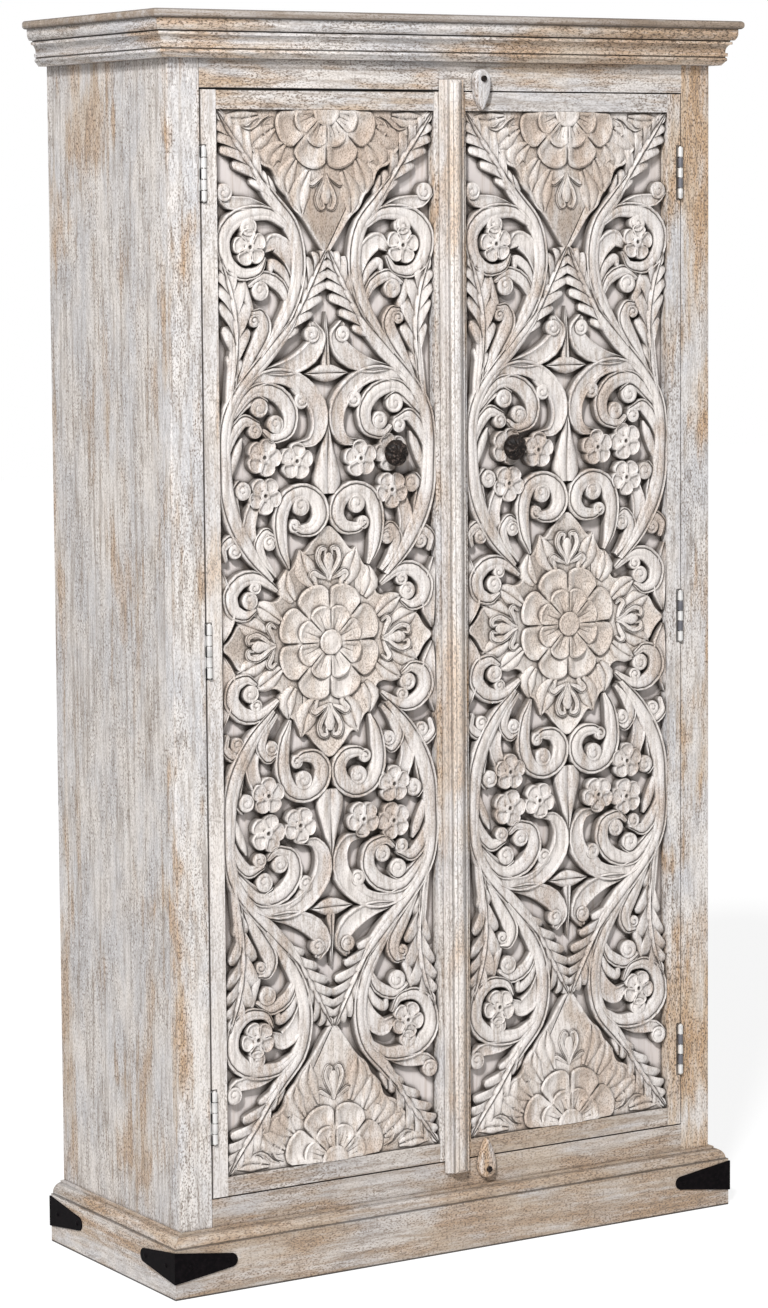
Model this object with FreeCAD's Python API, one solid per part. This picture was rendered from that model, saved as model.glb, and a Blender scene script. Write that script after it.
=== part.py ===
# Two-door carved cupboard: face-framed case, openwork doors, moulded cornice and plinth.
# Millimetres. X to the right, Y to the back, Z up. The origin is under the middle of the base.
import FreeCAD, Part
import math
import os
from FreeCAD import Vector

# Overall
OVERALL_WIDTH = 1000.0
OVERALL_DEPTH = 400.0
OVERALL_HEIGHT = 1800.0
OVERRUN = 1.0

# Top slab and cornice: steps of the moulding, measured out from the case and up from its foot
SLAB_THICKNESS = 12.0
SLAB_OVERHANG = 38.0
SLAB_NOSE_SHARE = 0.42
CORNICE_HEIGHT = 53.0
CORNICE_FOOT_OUT = 13.5
CORNICE_BEVEL_RISE = 5.5
CORNICE_BEAD_OUT = 19.6
CORNICE_BEAD_RISE = 6.0
CORNICE_QUIRK_OUT = 17.6
CORNICE_QUIRK_RISE = 1.6
CORNICE_FILLET_OUT = 20.2
CORNICE_FILLET_RISE = 5.0
CORNICE_COVE_OUT = 19.0
CORNICE_COVE_RISE = 11.0
CORNICE_COVE_MIDDLE_SHARE = 0.58
CORNICE_COVE_TOP_OUT = 22.6
CORNICE_LIP_OUT = 25.2
CORNICE_LIP_RISE = 4.0
CORNICE_NECK_OUT = 22.8
CORNICE_NECK_RISE = 2.0
CORNICE_OVOLO_FOOT_OUT = 27.6
CORNICE_OVOLO_OUT = 30.3
CORNICE_OVOLO_RISE = 9.0
CORNICE_FASCIA_OUT = 31.4

# Plinth
PLINTH_HEIGHT = 90.0
PLINTH_THICKNESS = 22.0
PLINTH_BOARD_HEIGHT = 72.0
PLINTH_QUIRK = 3.0
PLINTH_OVOLO_BULGE_SHARES = (0.74, 0.66)
PLINTH_OVOLO_TOP_OUT = 6.0
PLINTH_OVOLO_TOP = 87.0
PLINTH_BACK_THICKNESS = 18.0
PLINTH_BACK_HEIGHT = 60.0

# Iron corner brackets on the plinth
BRACKET_LENGTH = 100.0
BRACKET_CORNER_HEIGHT = 45.0
BRACKET_END_HEIGHT = 20.0
BRACKET_THICKNESS = 2.0
BRACKET_CENTRE_HEIGHT = 46.0

# Case
FRAME_THICKNESS = 24.0
STILE_WIDTH = 51.0
OPENING_BOTTOM = 130.0
TOP_RAIL_HEIGHT = 94.0
BOTTOM_RAIL_HEIGHT = 70.0
FRAME_TENON_LENGTH = 30.0
FRAME_TENON_THICKNESS = 8.0
FRAME_TENON_SHOULDER = 10.0
SIDE_THICKNESS = 20.0
BACK_THICKNESS = 6.0
BACK_REBATE = 10.0
FLOOR_THICKNESS = 18.0
CEILING_THICKNESS = 18.0
CEILING_RISE = 6.0
SHELF_COUNT = 3
SHELF_THICKNESS = 18.0
BATTEN_SIZE = 20.0
BATTEN_SETBACK = 10.0

# Doors
DOOR_GAP = 2.0
MEETING_GAP = 2.0
DOOR_PROUD = 0.5
DOOR_THICKNESS = 26.0
DOOR_STOP_GAP = 1.5
HINGE_STILE_WIDTH = 24.0
MEETING_STILE_WIDTH = 26.0
DOOR_RAIL_HEIGHT = 27.0
DOOR_TENON_LENGTH = 16.0
DOOR_TENON_THICKNESS = 7.0
DOOR_TENON_SHOULDER = 5.0
CARVING_DEPTH = 16.0
BACKING_THICKNESS = 6.0
BACKING_GROOVE = 6.0

# Meeting strip on the right door
STRIP_WIDTH = 38.0
STRIP_BASE = 7.0
STRIP_STEP_WIDTH = 26.0
STRIP_STEP = 11.0
STRIP_CROWN_WIDTH = 20.0
STRIP_PROUD = 20.0
STRIP_LAP = 17.0
STRIP_RELIEF = 0.6
STRIP_BEVEL = 6.0

# Butt hinges
HINGE_LENGTH = 76.0
HINGE_END_DISTANCE = 116.0
KNUCKLE_COUNT = 3
KNUCKLE_RADIUS = 4.0
KNUCKLE_SIDES = 12
KNUCKLE_GAP = 0.3
HINGE_AXIS_INSET = 4.0
HINGE_AXIS_PROUD = 3.0
HINGE_LEAF_THICKNESS = 1.5
HINGE_LEAF_WIDTH = 18.0
HINGE_CLEARANCE = 0.6
PIN_RADIUS = 1.6
PIN_CLEARANCE = 0.05

# Knobs
KNOB_RADIUS = 18.0
KNOB_PROJECTION = 27.0
KNOB_NECK_RADIUS = 8.0
KNOB_NECK_LENGTH = 13.0
KNOB_CROWN_SHARE = 0.62
KNOB_SIDES = 12
SHANK_RADIUS = 3.0
SHANK_TAIL = 6.0
SHANK_CLEARANCE = 0.2
NUT_RADIUS = 5.8
NUT_HEIGHT = 4.0
NUT_SIDES = 6

# Turn buttons
BUTTON_X = 51.0
BUTTON_RAIL_OFFSET = 17.0
BUTTON_LENGTH = 46.0
BUTTON_HALF_WIDTH = 14.0
BUTTON_THICKNESS = 11.0
BUTTON_STANDOFF = 1.0
BUTTON_SCREW_RADIUS = 2.5
BUTTON_SCREW_CLEARANCE = 0.06
BUTTON_SCREW_DEPTH = 16.0
BUTTON_HEAD_SEAT_RADIUS = 4.5
BUTTON_SCREW_HEAD_GAP = 0.3
BUTTON_SCREW_HEAD_HEIGHT = 2.2
# One side of a button from head to tip: shares of the half width, then of the length from the pivot
BUTTON_EDGE_SHARES = ((0.0, -0.24), (0.45, -0.20), (0.73, -0.09), (0.90, 0.14), (1.0, 0.40), (0.93, 0.62),
                      (0.70, 0.80), (0.36, 0.94), (0.0, 1.0))

# Carving: heights above the backing board
MEDALLION_HEIGHT = 9.0
SCROLL_HEIGHT = 12.0
FLOWER_HEIGHT = 14.0
OUTER_PETAL_HEIGHT = 12.5
INNER_PETAL_HEIGHT = 15.0
ROSETTE_BUTTON_RISE = 3.0
ROSETTE_BUTTON_RADIUS = 17.0
INNER_PETAL_RADIUS = 55.0
OUTER_PETAL_RADIUS = 89.0
PETAL_NOTCH_SHARE = 0.84
PETAL_TURN_SHARES = (0.0, 0.5, 1.0)
ROSETTE_PETALS = 8
FLOWER_RADIUS = 26.0
FLOWER_PETALS = 5
FLOWER_NOTCH_SHARE = 0.62
PETAL_SHOULDER_SHARE = 0.22
FACET_TURN = math.radians(45)

# Carving outlines in one quarter of a panel, from the middle of the panel outwards.
# Each point is a share of the half width, then of the half height; a third number is the
# width of the scroll there, as a share of the half width.
SCROLL_SHARES = {
    "rosette_scroll": ((0.36, 0.158, 0.02), (0.43, 0.193, 0.11), (0.46, 0.245, 0.12), (0.37, 0.286, 0.12),
                       (0.22, 0.294, 0.12), (0.08, 0.271, 0.14), (0.06, 0.236, 0.14), (0.17, 0.212, 0.12),
                       (0.32, 0.217, 0.08)),
    "main_stem": ((0.48, 0.118, 0.06), (0.70, 0.180, 0.11), (0.87, 0.240, 0.12), (0.94, 0.320, 0.14),
                  (0.90, 0.436, 0.12), (0.75, 0.494, 0.11), (0.52, 0.546, 0.12), (0.29, 0.602, 0.17),
                  (0.15, 0.652, 0.17), (0.05, 0.710, 0.08), (0.00, 0.737, 0.01)),
    "flower_stem": ((0.52, 0.136, 0.06), (0.71, 0.205, 0.12), (0.68, 0.272, 0.11)),
    "side_scroll": ((0.47, 0.108, 0.04), (0.62, 0.130, 0.10), (0.78, 0.133, 0.11), (0.91, 0.108, 0.14),
                    (0.88, 0.076, 0.12), (0.76, 0.068, 0.10), (0.69, 0.083, 0.07)),
    "great_scroll": ((0.90, 0.418, 0.04), (0.64, 0.497, 0.10), (0.28, 0.494, 0.12), (0.08, 0.452, 0.17),
                     (0.07, 0.411, 0.17), (0.16, 0.382, 0.11), (0.33, 0.381, 0.02)),
    "inner_scroll": ((0.84, 0.436, 0.04), (0.56, 0.486, 0.12), (0.33, 0.452, 0.14), (0.34, 0.404, 0.12),
                     (0.50, 0.392, 0.08)),
    "crossing_curl": ((0.50, 0.519, 0.02), (0.26, 0.519, 0.12), (0.09, 0.546, 0.14), (0.04, 0.583, 0.10),
                      (0.11, 0.600, 0.06)),
    "roundel": ((0.34, 0.782, 0.06), (0.66, 0.815, 0.11), (0.93, 0.776, 0.12), (0.93, 0.726, 0.12),
                (0.78, 0.695, 0.11), (0.62, 0.700, 0.10), (0.54, 0.723, 0.02)),
}
LEAF_SHARES = {
    "edge_leaf": ((0.88, 0.464, 0.03), (0.84, 0.531, 0.10), (0.86, 0.597, 0.19), (0.90, 0.663, 0.14),
                  (0.96, 0.710, 0.02)),
    "corner_leaf": ((0.56, 0.555, 0.04), (0.40, 0.608, 0.08), (0.28, 0.663, 0.09), (0.24, 0.723, 0.09),
                    (0.31, 0.785, 0.10), (0.48, 0.833, 0.11), (0.66, 0.891, 0.17), (0.83, 0.950, 0.13),
                    (0.98, 0.990, 0.02)),
    "side_lobe": ((0.97, 0.126, 0.02), (0.92, 0.070, 0.13), (0.96, 0.024, 0.02)),
}
POD_SHARES = ((0.0, 0.294, 0.01), (0.0, 0.335, 0.19), (0.0, 0.387, 0.01))
FLOWER_PLACE_SHARES = ((0.58, 0.282), (0.58, 0.354), (0.29, 0.345), (0.69, 0.745))
KNOB_PLACE_SHARES = FLOWER_PLACE_SHARES[1]

# The leafy edges of the medallions: notches and leaf tips in turn
MEDALLION_EDGE_SHARES = ((0.0, 0.225), (0.14, 0.200), (0.21, 0.160), (0.29, 0.170), (0.34, 0.142),
                         (0.41, 0.128), (0.43, 0.088), (0.57, 0.098), (0.69, 0.068), (0.82, 0.058),
                         (0.89, 0.027), (0.95, 0.016), (0.99, 0.0))
GABLE_EDGE_SHARES = ((0.0, 0.738), (0.12, 0.765), (0.20, 0.797), (0.30, 0.806), (0.36, 0.840),
                     (0.47, 0.850), (0.48, 0.888), (0.60, 0.895), (0.66, 0.922), (0.78, 0.932),
                     (0.84, 0.962), (0.94, 0.975), (0.99, 1.0))

# Worked out from the sizes above
CASE_HALF_WIDTH = OVERALL_WIDTH / 2 - SLAB_OVERHANG
CASE_FRONT = -OVERALL_DEPTH / 2 + SLAB_OVERHANG
CASE_BACK = OVERALL_DEPTH / 2 - BRACKET_THICKNESS
CASE_TOP = OVERALL_HEIGHT - SLAB_THICKNESS
FRAME_BACK = CASE_FRONT + FRAME_THICKNESS
OPENING_HALF_WIDTH = CASE_HALF_WIDTH - STILE_WIDTH
OPENING_TOP = CASE_TOP - TOP_RAIL_HEIGHT
SIDE_INSIDE = CASE_HALF_WIDTH - SIDE_THICKNESS
BACK_INSIDE = CASE_BACK - BACK_THICKNESS
CEILING_UNDERSIDE = OPENING_TOP + CEILING_RISE

DOOR_FRONT = CASE_FRONT - DOOR_PROUD
DOOR_BACK = DOOR_FRONT + DOOR_THICKNESS
DOOR_OUTER_EDGE = -OPENING_HALF_WIDTH + DOOR_GAP
DOOR_INNER_EDGE = -MEETING_GAP / 2
DOOR_BOTTOM = OPENING_BOTTOM + DOOR_GAP
DOOR_TOP = OPENING_TOP - DOOR_GAP
PANEL_LEFT = DOOR_OUTER_EDGE + HINGE_STILE_WIDTH
PANEL_RIGHT = DOOR_INNER_EDGE - MEETING_STILE_WIDTH
PANEL_BOTTOM = DOOR_BOTTOM + DOOR_RAIL_HEIGHT
PANEL_TOP = DOOR_TOP - DOOR_RAIL_HEIGHT
PANEL_HALF_WIDTH = (PANEL_RIGHT - PANEL_LEFT) / 2
PANEL_HALF_HEIGHT = (PANEL_TOP - PANEL_BOTTOM) / 2
PANEL_CENTRE = Vector((PANEL_LEFT + PANEL_RIGHT) / 2, 0, (PANEL_BOTTOM + PANEL_TOP) / 2)
BACKING_FRONT = DOOR_FRONT + CARVING_DEPTH
BACKING_BACK = BACKING_FRONT + BACKING_THICKNESS
SHELF_FRONT = DOOR_BACK + DOOR_STOP_GAP

HINGE_X = -OPENING_HALF_WIDTH + HINGE_AXIS_INSET
HINGE_Y = CASE_FRONT - HINGE_AXIS_PROUD
HINGE_CENTRES = (DOOR_BOTTOM + HINGE_END_DISTANCE, PANEL_CENTRE.z, DOOR_TOP - HINGE_END_DISTANCE)

FRONT = Vector(0, -1, 0)
BACK = Vector(0, 1, 0)
UP = Vector(0, 0, 1)
RIGHT = Vector(1, 0, 0)
ORIGIN = Vector(0, 0, 0)


def save(name, *shapes):
    """Write one node, made of one solid or of a group of separate solids."""
    whole = shapes[0] if len(shapes) == 1 else Part.makeCompound(list(shapes))
    whole.exportStep(f"parts/{name}.step")


def block(x0, x1, y0, y1, z0, z1):
    """A rectangular board between two corners."""
    return Part.makeBox(x1 - x0, y1 - y0, z1 - z0, Vector(x0, y0, z0))


def mirrored(shape):
    """The same piece on the other side of the cupboard."""
    return shape.mirror(ORIGIN, RIGHT)


def rod(radius, start, end):
    """A round bar from one point to another."""
    along = end - start
    return Part.makeCylinder(radius, along.Length, start, along)


def even_ring(centre, radius, sides, first, second):
    """Corners of an even polygon about a centre, in the plane of two directions."""
    corners = []
    for k in range(sides):
        angle = 2 * math.pi * k / sides
        corners.append(centre + first * (radius * math.cos(angle)) + second * (radius * math.sin(angle)))
    return corners


def closed(corners):
    """The closed line through some corners."""
    return Part.makePolygon([*corners, corners[0]])


def outline(start, steps, place):
    """A flat face from a start point and steps: (end,) is straight, (via, end) is an arc."""
    edges = []
    here = start
    for step in steps:
        there = step[-1]
        if len(step) == 1:
            edges.append(Part.LineSegment(place(*here), place(*there)).toShape())
        else:
            edges.append(Part.Arc(place(*here), place(*step[0]), place(*there)).toShape())
        here = there
    return Part.Face(Part.Wire(edges))


def plan_prism(corners, height):
    """An upright prism on a polygon in plan."""
    return Part.Face(closed([Vector(x, y, 0) for x, y in corners])).extrude(UP * height)


def mitred_runs(start, steps, reach):
    """Front, left and right lengths of one moulding round the case, mitred at the front corners."""
    far = CASE_HALF_WIDTH + reach
    near = CASE_FRONT - reach
    front_face = outline(start, steps, lambda out, z: Vector(-far, CASE_FRONT - out, z))
    front_zone = plan_prism(((-CASE_HALF_WIDTH, CASE_FRONT), (CASE_HALF_WIDTH, CASE_FRONT), (far, near),
                             (-far, near)), OVERALL_HEIGHT)
    front = front_face.extrude(RIGHT * (far + far)).common(front_zone)
    side_face = outline(start, steps, lambda out, z: Vector(-CASE_HALF_WIDTH - out, CASE_BACK, z))
    side_zone = plan_prism(((-CASE_HALF_WIDTH, CASE_BACK), (-CASE_HALF_WIDTH, CASE_FRONT), (-far, near),
                            (-far, CASE_BACK)), OVERALL_HEIGHT)
    left = side_face.extrude(FRONT * (CASE_BACK - near)).common(side_zone)
    return front, left, mirrored(left)


def make_top():
    """Top slab with a rounded nose on three sides, and the three cornice lengths under it."""
    half_width = OVERALL_WIDTH / 2
    half_depth = OVERALL_DEPTH / 2
    slab = block(-half_width, half_width, -half_depth, half_depth, CASE_TOP, OVERALL_HEIGHT)
    nose_edges = []
    for edge in slab.Edges:
        middle = edge.CenterOfMass
        level = abs(edge.Vertexes[0].Z - edge.Vertexes[-1].Z) < OVERRUN
        if level and middle.y < half_depth - OVERRUN:
            nose_edges.append(edge)
    save("top_slab", slab.makeFillet(SLAB_THICKNESS * SLAB_NOSE_SHARE, nose_edges))
    foot = CASE_TOP - CORNICE_HEIGHT
    bead_foot = foot + CORNICE_BEVEL_RISE
    bead_top = bead_foot + CORNICE_BEAD_RISE
    fillet_foot = bead_top + CORNICE_QUIRK_RISE
    fillet_top = fillet_foot + CORNICE_FILLET_RISE
    cove_foot = fillet_top + CORNICE_QUIRK_RISE
    cove_top = cove_foot + CORNICE_COVE_RISE
    lip_top = cove_top + CORNICE_LIP_RISE
    ovolo_foot = lip_top + CORNICE_NECK_RISE
    ovolo_top = ovolo_foot + CORNICE_OVOLO_RISE
    bead_middle = (bead_foot + bead_top) / 2
    cove_middle = cove_foot + CORNICE_COVE_RISE * CORNICE_COVE_MIDDLE_SHARE
    ovolo_middle = (ovolo_foot + ovolo_top) / 2
    steps = (((CORNICE_FOOT_OUT, foot),),
             ((CORNICE_QUIRK_OUT, bead_foot),),
             ((CORNICE_BEAD_OUT, bead_middle), (CORNICE_QUIRK_OUT, bead_top)),
             ((CORNICE_QUIRK_OUT, fillet_foot),),
             ((CORNICE_FILLET_OUT, fillet_foot),),
             ((CORNICE_FILLET_OUT, fillet_top),),
             ((CORNICE_QUIRK_OUT, fillet_top),),
             ((CORNICE_QUIRK_OUT, cove_foot),),
             ((CORNICE_COVE_OUT, cove_middle), (CORNICE_COVE_TOP_OUT, cove_top)),
             ((CORNICE_LIP_OUT, cove_top),),
             ((CORNICE_LIP_OUT, lip_top),),
             ((CORNICE_NECK_OUT, lip_top),),
             ((CORNICE_NECK_OUT, ovolo_foot),),
             ((CORNICE_OVOLO_FOOT_OUT, ovolo_foot),),
             ((CORNICE_OVOLO_OUT, ovolo_middle), (CORNICE_FASCIA_OUT, ovolo_top)),
             ((CORNICE_FASCIA_OUT, CASE_TOP),),
             ((0, CASE_TOP),),
             ((0, foot),))
    for name, run in zip(("front", "left", "right"), mitred_runs((0, foot), steps, SLAB_OVERHANG)):
        save(f"cornice_{name}", run)


def make_plinth():
    """Moulded boards planted round the foot of the case, and the plain board under its back."""
    quirk_out = PLINTH_THICKNESS - PLINTH_QUIRK
    bulge_out_share, bulge_up_share = PLINTH_OVOLO_BULGE_SHARES
    bulge = (PLINTH_OVOLO_TOP_OUT + (quirk_out - PLINTH_OVOLO_TOP_OUT) * bulge_out_share,
             PLINTH_BOARD_HEIGHT + (PLINTH_OVOLO_TOP - PLINTH_BOARD_HEIGHT) * bulge_up_share)
    steps = (((PLINTH_THICKNESS, 0),),
             ((PLINTH_THICKNESS, PLINTH_BOARD_HEIGHT),),
             ((quirk_out, PLINTH_BOARD_HEIGHT),),
             (bulge, (PLINTH_OVOLO_TOP_OUT, PLINTH_OVOLO_TOP)),
             ((PLINTH_OVOLO_TOP_OUT, PLINTH_HEIGHT),),
             ((0, PLINTH_HEIGHT),),
             ((0, 0),))
    for name, run in zip(("front", "left", "right"), mitred_runs((0, 0), steps, SLAB_OVERHANG)):
        save(f"plinth_{name}", run)
    save("plinth_back", block(-SIDE_INSIDE, SIDE_INSIDE, CASE_BACK - PLINTH_BACK_THICKNESS, CASE_BACK,
                              0, PLINTH_BACK_HEIGHT))


def make_brackets():
    """Iron plates bent round the corners of the plinth, each arm tapering to a round end."""
    corner_half = BRACKET_CORNER_HEIGHT / 2
    end_half = BRACKET_END_HEIGHT / 2
    shoulder = BRACKET_LENGTH - end_half
    low = BRACKET_CENTRE_HEIGHT - corner_half
    high = BRACKET_CENTRE_HEIGHT + corner_half
    start = (-BRACKET_THICKNESS, low)
    steps = (((0, low),),
             ((shoulder, BRACKET_CENTRE_HEIGHT - end_half),),
             ((BRACKET_LENGTH, BRACKET_CENTRE_HEIGHT), (shoulder, BRACKET_CENTRE_HEIGHT + end_half)),
             ((0, high),),
             ((-BRACKET_THICKNESS, high),),
             (start,))
    corner_x = -CASE_HALF_WIDTH - PLINTH_THICKNESS
    corner_y = CASE_FRONT - PLINTH_THICKNESS
    front_arm = outline(start, steps, lambda along, z: Vector(corner_x + along, corner_y, z))
    side_arm = outline(start, steps, lambda along, z: Vector(corner_x, corner_y + along, z))
    front_left = front_arm.extrude(FRONT * BRACKET_THICKNESS)
    front_left = front_left.fuse(side_arm.extrude(RIGHT * -BRACKET_THICKNESS)).removeSplitter()
    middle_y = (corner_y + CASE_BACK) / 2
    back_left = front_left.mirror(Vector(0, middle_y, 0), BACK)
    save("bracket_front_left", front_left)
    save("bracket_front_right", mirrored(front_left))
    save("bracket_back_left", back_left)
    save("bracket_back_right", mirrored(back_left))


def tenon(x0, x1, frame_front, frame_thickness, thickness, z0, z1, shoulder):
    """A rail's tongue, centred in the thickness of the frame; its mortise is the same shape."""
    middle = frame_front + frame_thickness / 2
    return block(x0, x1, middle - thickness / 2, middle + thickness / 2, z0 + shoulder, z1 - shoulder)


def make_face_frame():
    """Stiles and tenoned rails round the doors, with the seats of the hinges and of the pivot screws."""
    left = block(-CASE_HALF_WIDTH, -OPENING_HALF_WIDTH, CASE_FRONT, FRAME_BACK, 0, CASE_TOP)
    bottom_rail_foot = OPENING_BOTTOM - BOTTOM_RAIL_HEIGHT
    for name, foot, head in (("bottom", bottom_rail_foot, OPENING_BOTTOM), ("top", OPENING_TOP, CASE_TOP)):
        tongue = tenon(-OPENING_HALF_WIDTH - FRAME_TENON_LENGTH, -OPENING_HALF_WIDTH, CASE_FRONT,
                       FRAME_THICKNESS, FRAME_TENON_THICKNESS, foot, head, FRAME_TENON_SHOULDER)
        rail = block(-OPENING_HALF_WIDTH, OPENING_HALF_WIDTH, CASE_FRONT, FRAME_BACK, foot, head)
        rail = rail.fuse([tongue, mirrored(tongue)]).removeSplitter()
        pivot_z = button_pivot(name).z
        pilot = rod(BUTTON_SCREW_RADIUS, Vector(BUTTON_X, CASE_FRONT - OVERRUN, pivot_z),
                    Vector(BUTTON_X, CASE_FRONT + BUTTON_SCREW_DEPTH, pivot_z))
        save(f"face_{name}_rail", rail.cut(pilot))
        left = left.cut(tongue)
    for centre in HINGE_CENTRES:
        left = left.cut(case_leaf_plate(centre))
    save("face_left_stile", left)
    save("face_right_stile", mirrored(left))


def make_carcass():
    """Sides, back, ceiling, floor, shelves and the battens that carry the shelves."""
    left = block(-CASE_HALF_WIDTH, -SIDE_INSIDE, FRAME_BACK, CASE_BACK, 0, CASE_TOP)
    back_edge = SIDE_INSIDE + BACK_REBATE
    left = left.cut(block(-back_edge, -SIDE_INSIDE + OVERRUN, BACK_INSIDE, CASE_BACK + OVERRUN,
                          PLINTH_BACK_HEIGHT, CASE_TOP + OVERRUN))
    save("side_panel_left", left)
    save("side_panel_right", mirrored(left))
    save("back_panel", block(-back_edge, back_edge, BACK_INSIDE, CASE_BACK, PLINTH_BACK_HEIGHT, CASE_TOP))
    save("ceiling_board", block(-SIDE_INSIDE, SIDE_INSIDE, FRAME_BACK, BACK_INSIDE, CEILING_UNDERSIDE,
                                CEILING_UNDERSIDE + CEILING_THICKNESS))
    save("floor_board", block(-SIDE_INSIDE, SIDE_INSIDE, FRAME_BACK, BACK_INSIDE,
                              OPENING_BOTTOM - FLOOR_THICKNESS, OPENING_BOTTOM))
    undersides = [OPENING_BOTTOM - FLOOR_THICKNESS]
    clear = (CEILING_UNDERSIDE - OPENING_BOTTOM - SHELF_COUNT * SHELF_THICKNESS) / (SHELF_COUNT + 1)
    for number in range(SHELF_COUNT):
        foot = OPENING_BOTTOM + clear + number * (clear + SHELF_THICKNESS)
        undersides.append(foot)
        save(f"shelf_{number + 1}", block(-SIDE_INSIDE, SIDE_INSIDE, SHELF_FRONT, BACK_INSIDE, foot,
                                          foot + SHELF_THICKNESS))
    battens = [block(-SIDE_INSIDE, -SIDE_INSIDE + BATTEN_SIZE, SHELF_FRONT + BATTEN_SETBACK,
                     BACK_INSIDE - BATTEN_SETBACK, foot - BATTEN_SIZE, foot) for foot in undersides]
    save("shelf_battens_left", *battens)
    save("shelf_battens_right", *[mirrored(batten) for batten in battens])


def case_leaf_plate(centre):
    """The flat of a left hinge's case leaf, let into the inner edge of the case stile."""
    half = HINGE_LENGTH / 2
    return block(-OPENING_HALF_WIDTH - HINGE_LEAF_THICKNESS, -OPENING_HALF_WIDTH, CASE_FRONT,
                 CASE_FRONT + HINGE_LEAF_WIDTH, centre - half, centre + half)


def door_leaf_plate(centre):
    """The flat of a left hinge's door leaf, let into the door's edge behind the knuckles."""
    half = HINGE_LENGTH / 2
    return block(DOOR_OUTER_EDGE, DOOR_OUTER_EDGE + HINGE_LEAF_THICKNESS,
                 HINGE_Y + KNUCKLE_RADIUS + KNUCKLE_GAP, CASE_FRONT + HINGE_LEAF_WIDTH,
                 centre - half, centre + half)


def knuckle_spans(centre, first):
    """Heights of every second knuckle of a hinge, with the running gap between neighbours."""
    pitch = HINGE_LENGTH / KNUCKLE_COUNT
    foot = centre - HINGE_LENGTH / 2
    return [(foot + k * pitch + KNUCKLE_GAP / 2, foot + (k + 1) * pitch - KNUCKLE_GAP / 2)
            for k in range(first, KNUCKLE_COUNT, 2)]


def knuckle(low, high):
    """One rolled knuckle of a left hinge, hammered in flats."""
    ring = even_ring(Vector(HINGE_X, HINGE_Y, low), KNUCKLE_RADIUS, KNUCKLE_SIDES, RIGHT, BACK)
    return Part.Face(closed(ring)).extrude(UP * (high - low))


def make_hinges():
    """Three butt hinges a side: leaves with alternate knuckles on a loose pin."""
    case_leaves = []
    door_leaves = []
    pins = []
    wing = HINGE_LEAF_THICKNESS
    for centre in HINGE_CENTRES:
        half = HINGE_LENGTH / 2
        bore = rod(PIN_RADIUS + PIN_CLEARANCE, Vector(HINGE_X, HINGE_Y, centre - half - OVERRUN),
                   Vector(HINGE_X, HINGE_Y, centre + half + OVERRUN))
        leaf = case_leaf_plate(centre)
        for low, high in knuckle_spans(centre, 0):
            finger = block(-OPENING_HALF_WIDTH - wing, HINGE_X, HINGE_Y, HINGE_Y + wing, low, high)
            neck = block(-OPENING_HALF_WIDTH - wing, -OPENING_HALF_WIDTH, HINGE_Y, CASE_FRONT, low, high)
            leaf = leaf.fuse([knuckle(low, high), finger, neck])
        case_leaves.append(leaf.cut(bore).removeSplitter())
        leaf = door_leaf_plate(centre)
        for low, high in knuckle_spans(centre, 1):
            finger = block(DOOR_OUTER_EDGE, DOOR_OUTER_EDGE + wing, HINGE_Y,
                           HINGE_Y + KNUCKLE_RADIUS + KNUCKLE_GAP, low, high)
            leaf = leaf.fuse([knuckle(low, high), finger])
        door_leaves.append(leaf.cut(bore).removeSplitter())
        pins.append(rod(PIN_RADIUS, Vector(HINGE_X, HINGE_Y, centre - half),
                        Vector(HINGE_X, HINGE_Y, centre + half)))
    for side, place in (("left", lambda shape: shape), ("right", mirrored)):
        save(f"hinge_case_leaves_{side}", *[place(leaf) for leaf in case_leaves])
        save(f"hinge_door_leaves_{side}", *[place(leaf) for leaf in door_leaves])
        save(f"hinge_pins_{side}", *[place(pin) for pin in pins])


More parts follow.
